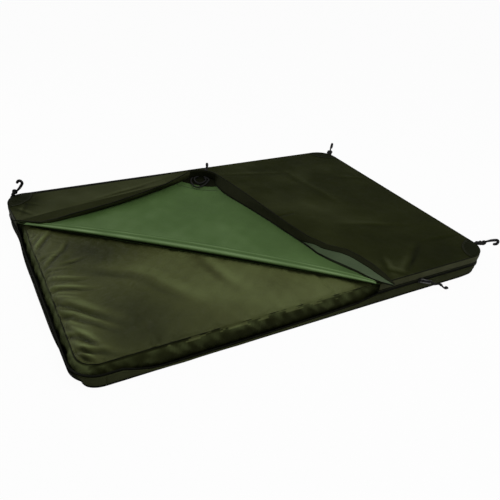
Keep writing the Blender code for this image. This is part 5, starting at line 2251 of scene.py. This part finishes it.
    def build(self) -> None:
        """Makes every small part."""
        for corner in self.corners:
            self.knot(corner)
            tab = f"hook_tab_{corner}"
            box = self.nodes[tab].bound_box
            middle = sum((Vector(self.nodes[tab].matrix_world @ Vector(spot)) for spot in box), Vector()) / 8
            self.refined(tab, Finishes.WEBBING, "webbing", FOLDED if corner == FOLDED else FIXED, bevel=0.0003)
            self.refined(f"elastic_loop_{corner}", Finishes.ELASTIC, "elastic", f"{corner}_hook", rounds=1)
            self.refined(
                f"hook_{corner}", Finishes.PLASTIC, "hook_plastic", f"{corner}_hook", rounds=1, swell=0.0024,
                away_from=middle,
            )
        self.pull_cord()
        self.refined("zip_slider", Finishes.DARK_METAL, "zip_metal", "slider", bevel=0.00025)
        self.refined(
            "zip_pull_tab", Finishes.METAL, "zip_metal", "pull_tab", bevel=0.00025, change=self.tab_change
        )
        self.tab_inlay()
        for stop in ("zip_bottom_stop", "zip_top_stop_tray", "zip_top_stop_cover"):
            self.refined(stop, Finishes.METAL, "zip_metal", FIXED, bevel=0.0003)


@dataclass
class Studio:
    """The pale floor, the soft light and the camera."""

    place: Place = (-0.6715, -1.1499, 0.7832)
    right: Place = (0.8733, -0.4813, 0.0754)
    up: Place = (0.1946, 0.4867, 0.8517)
    forward: Place = (0.4466, 0.7291, -0.5187)
    lens: float = 39.96
    # How strongly the world lights the mat, and how much of the floor's own white the camera sees
    world_strength: float = 0.30
    floor_glow: float = 0.965

    def build(self) -> None:
        """Makes the floor, the light and the camera."""
        self.floor()
        self.light()
        self.camera()

    def floor(self) -> None:
        """Makes the floor: it takes shadows, and shows white where nothing shades it."""
        form = bmesh.new()
        bmesh.ops.create_grid(form, x_segments=4, y_segments=4, size=60.0)
        mesh = bpy.data.meshes.new("studio_floor")
        form.to_mesh(mesh)
        form.free()
        floor = bpy.data.objects.new("studio_floor", mesh)
        bpy.context.scene.collection.objects.link(floor)
        board = NodeBoard("studio_floor_white")
        tree = board.tree
        tree.nodes.remove(board.shader)
        output = next(node for node in tree.nodes if node.type == "OUTPUT_MATERIAL")
        diffuse = board.add("BsdfDiffuse")
        diffuse.inputs["Color"].default_value = (0.6, 0.6, 0.6, 1)
        glow = board.add("Emission")
        glow.inputs["Color"].default_value = (1, 1, 1, 1)
        glow.inputs["Strength"].default_value = 1.0
        rays = board.add("LightPath")
        share = board.maths("MULTIPLY", rays.outputs["Is Camera Ray"], self.floor_glow)
        both = board.add("MixShader")
        board.link(share, both.inputs[0])
        board.link(diffuse.outputs[0], both.inputs[1])
        board.link(glow.outputs[0], both.inputs[2])
        board.link(both.outputs[0], output.inputs["Surface"])
        floor.data.materials.append(board.material)

    def light(self) -> None:
        """Makes the soft light: an even world, one large lamp above and a smaller one behind."""
        scene = bpy.context.scene
        world = bpy.data.worlds.new("studio_world")
        world.use_nodes = True
        scene.world = world
        tree = world.node_tree
        background = tree.nodes["Background"]
        white = tree.nodes.new("ShaderNodeBackground")
        for node, strength in ((background, self.world_strength), (white, 1.0)):
            node.inputs["Color"].default_value = (1, 1, 1, 1)
            node.inputs["Strength"].default_value = strength
        rays = tree.nodes.new("ShaderNodeLightPath")
        both = tree.nodes.new("ShaderNodeMixShader")
        tree.links.new(rays.outputs["Is Camera Ray"], both.inputs[0])
        tree.links.new(background.outputs[0], both.inputs[1])
        tree.links.new(white.outputs[0], both.inputs[2])
        tree.links.new(both.outputs[0], tree.nodes["World Output"].inputs["Surface"])
        self.lamp("top_softbox", (0.50, -0.6, 2.1), (-0.05, -0.05, 0.0), 1.8, 32.0)
        self.lamp("back_softbox", (-1.05, 1.35, 1.05), (-0.2, 0.0, 0.0), 0.8, 7.0)

    @staticmethod
    def lamp(name: str, place: Place, target: Place, size: float, power: float) -> None:
        """Makes a soft lamp.

        Args:
            name: Its name.
            place: Where it is.
            target: What it faces.
            size: Its side.
            power: Its power in watts.
        """
        data = bpy.data.lights.new(name, "AREA")
        data.shape = "SQUARE"
        data.size = size
        data.energy = power
        lamp = bpy.data.objects.new(name, data)
        aim = (Vector(target) - Vector(place)).normalized()
        lamp.matrix_world = Matrix.Translation(place) @ aim.to_track_quat("-Z", "Y").to_matrix().to_4x4()
        bpy.context.scene.collection.objects.link(lamp)

    def camera(self) -> None:
        """Makes the camera at the photograph's place and angle."""
        data = bpy.data.cameras.new("photo_camera")
        data.lens = self.lens
        data.sensor_width = 36.0
        data.sensor_fit = "HORIZONTAL"
        camera = bpy.data.objects.new("photo_camera", data)
        right, up, forward = (Vector(way).normalized() for way in (self.right, self.up, self.forward))
        turn = Matrix((right, up, -forward)).transposed().to_4x4()
        camera.matrix_world = Matrix.Translation(self.place) @ turn
        bpy.context.scene.collection.objects.link(camera)
        bpy.context.scene.camera = camera


def dress_frame(frame: dict, finishes: Finishes) -> None:
    """Gives every CAD node that stays a finish with grain or weave.

    Args:
        frame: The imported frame.
        finishes: The mat's finishes.
    """
    slots = {part["node"]: part["material_slot"] for part in frame["record"]["subparts"]}
    for name, node in frame["nodes"].items():
        finish = Finishes.BY_SLOT[slots[name]]
        node.data.materials.clear()
        node.data.materials.append(finishes.get(finish))


def main() -> None:
    """Loads the frame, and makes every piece."""
    logging.basicConfig(level=logging.INFO, format="%(message)s")
    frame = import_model()
    scene = bpy.context.scene
    scene.view_settings.view_transform = "Standard"
    Studio().build()
    finishes = Finishes()
    dress_frame(frame, finishes)
    maker = ClothMaker(finishes)
    Tray(maker).build()
    PaddedMat(maker).build()
    cover = CoverCloth(maker)
    cover.build()
    FoldedCorner(maker).build()
    ZipChain(maker).build()
    for name, signs in (
        ("back_left", (-1, 1)), ("back_right", (1, 1)), ("front_right", (1, -1)), (FOLDED, (-1, -1)),
    ):
        CornerPatch(maker, cover, name, signs).build()
    SmallParts(maker, frame["nodes"]).build()


if __name__ == "__main__":
    main()
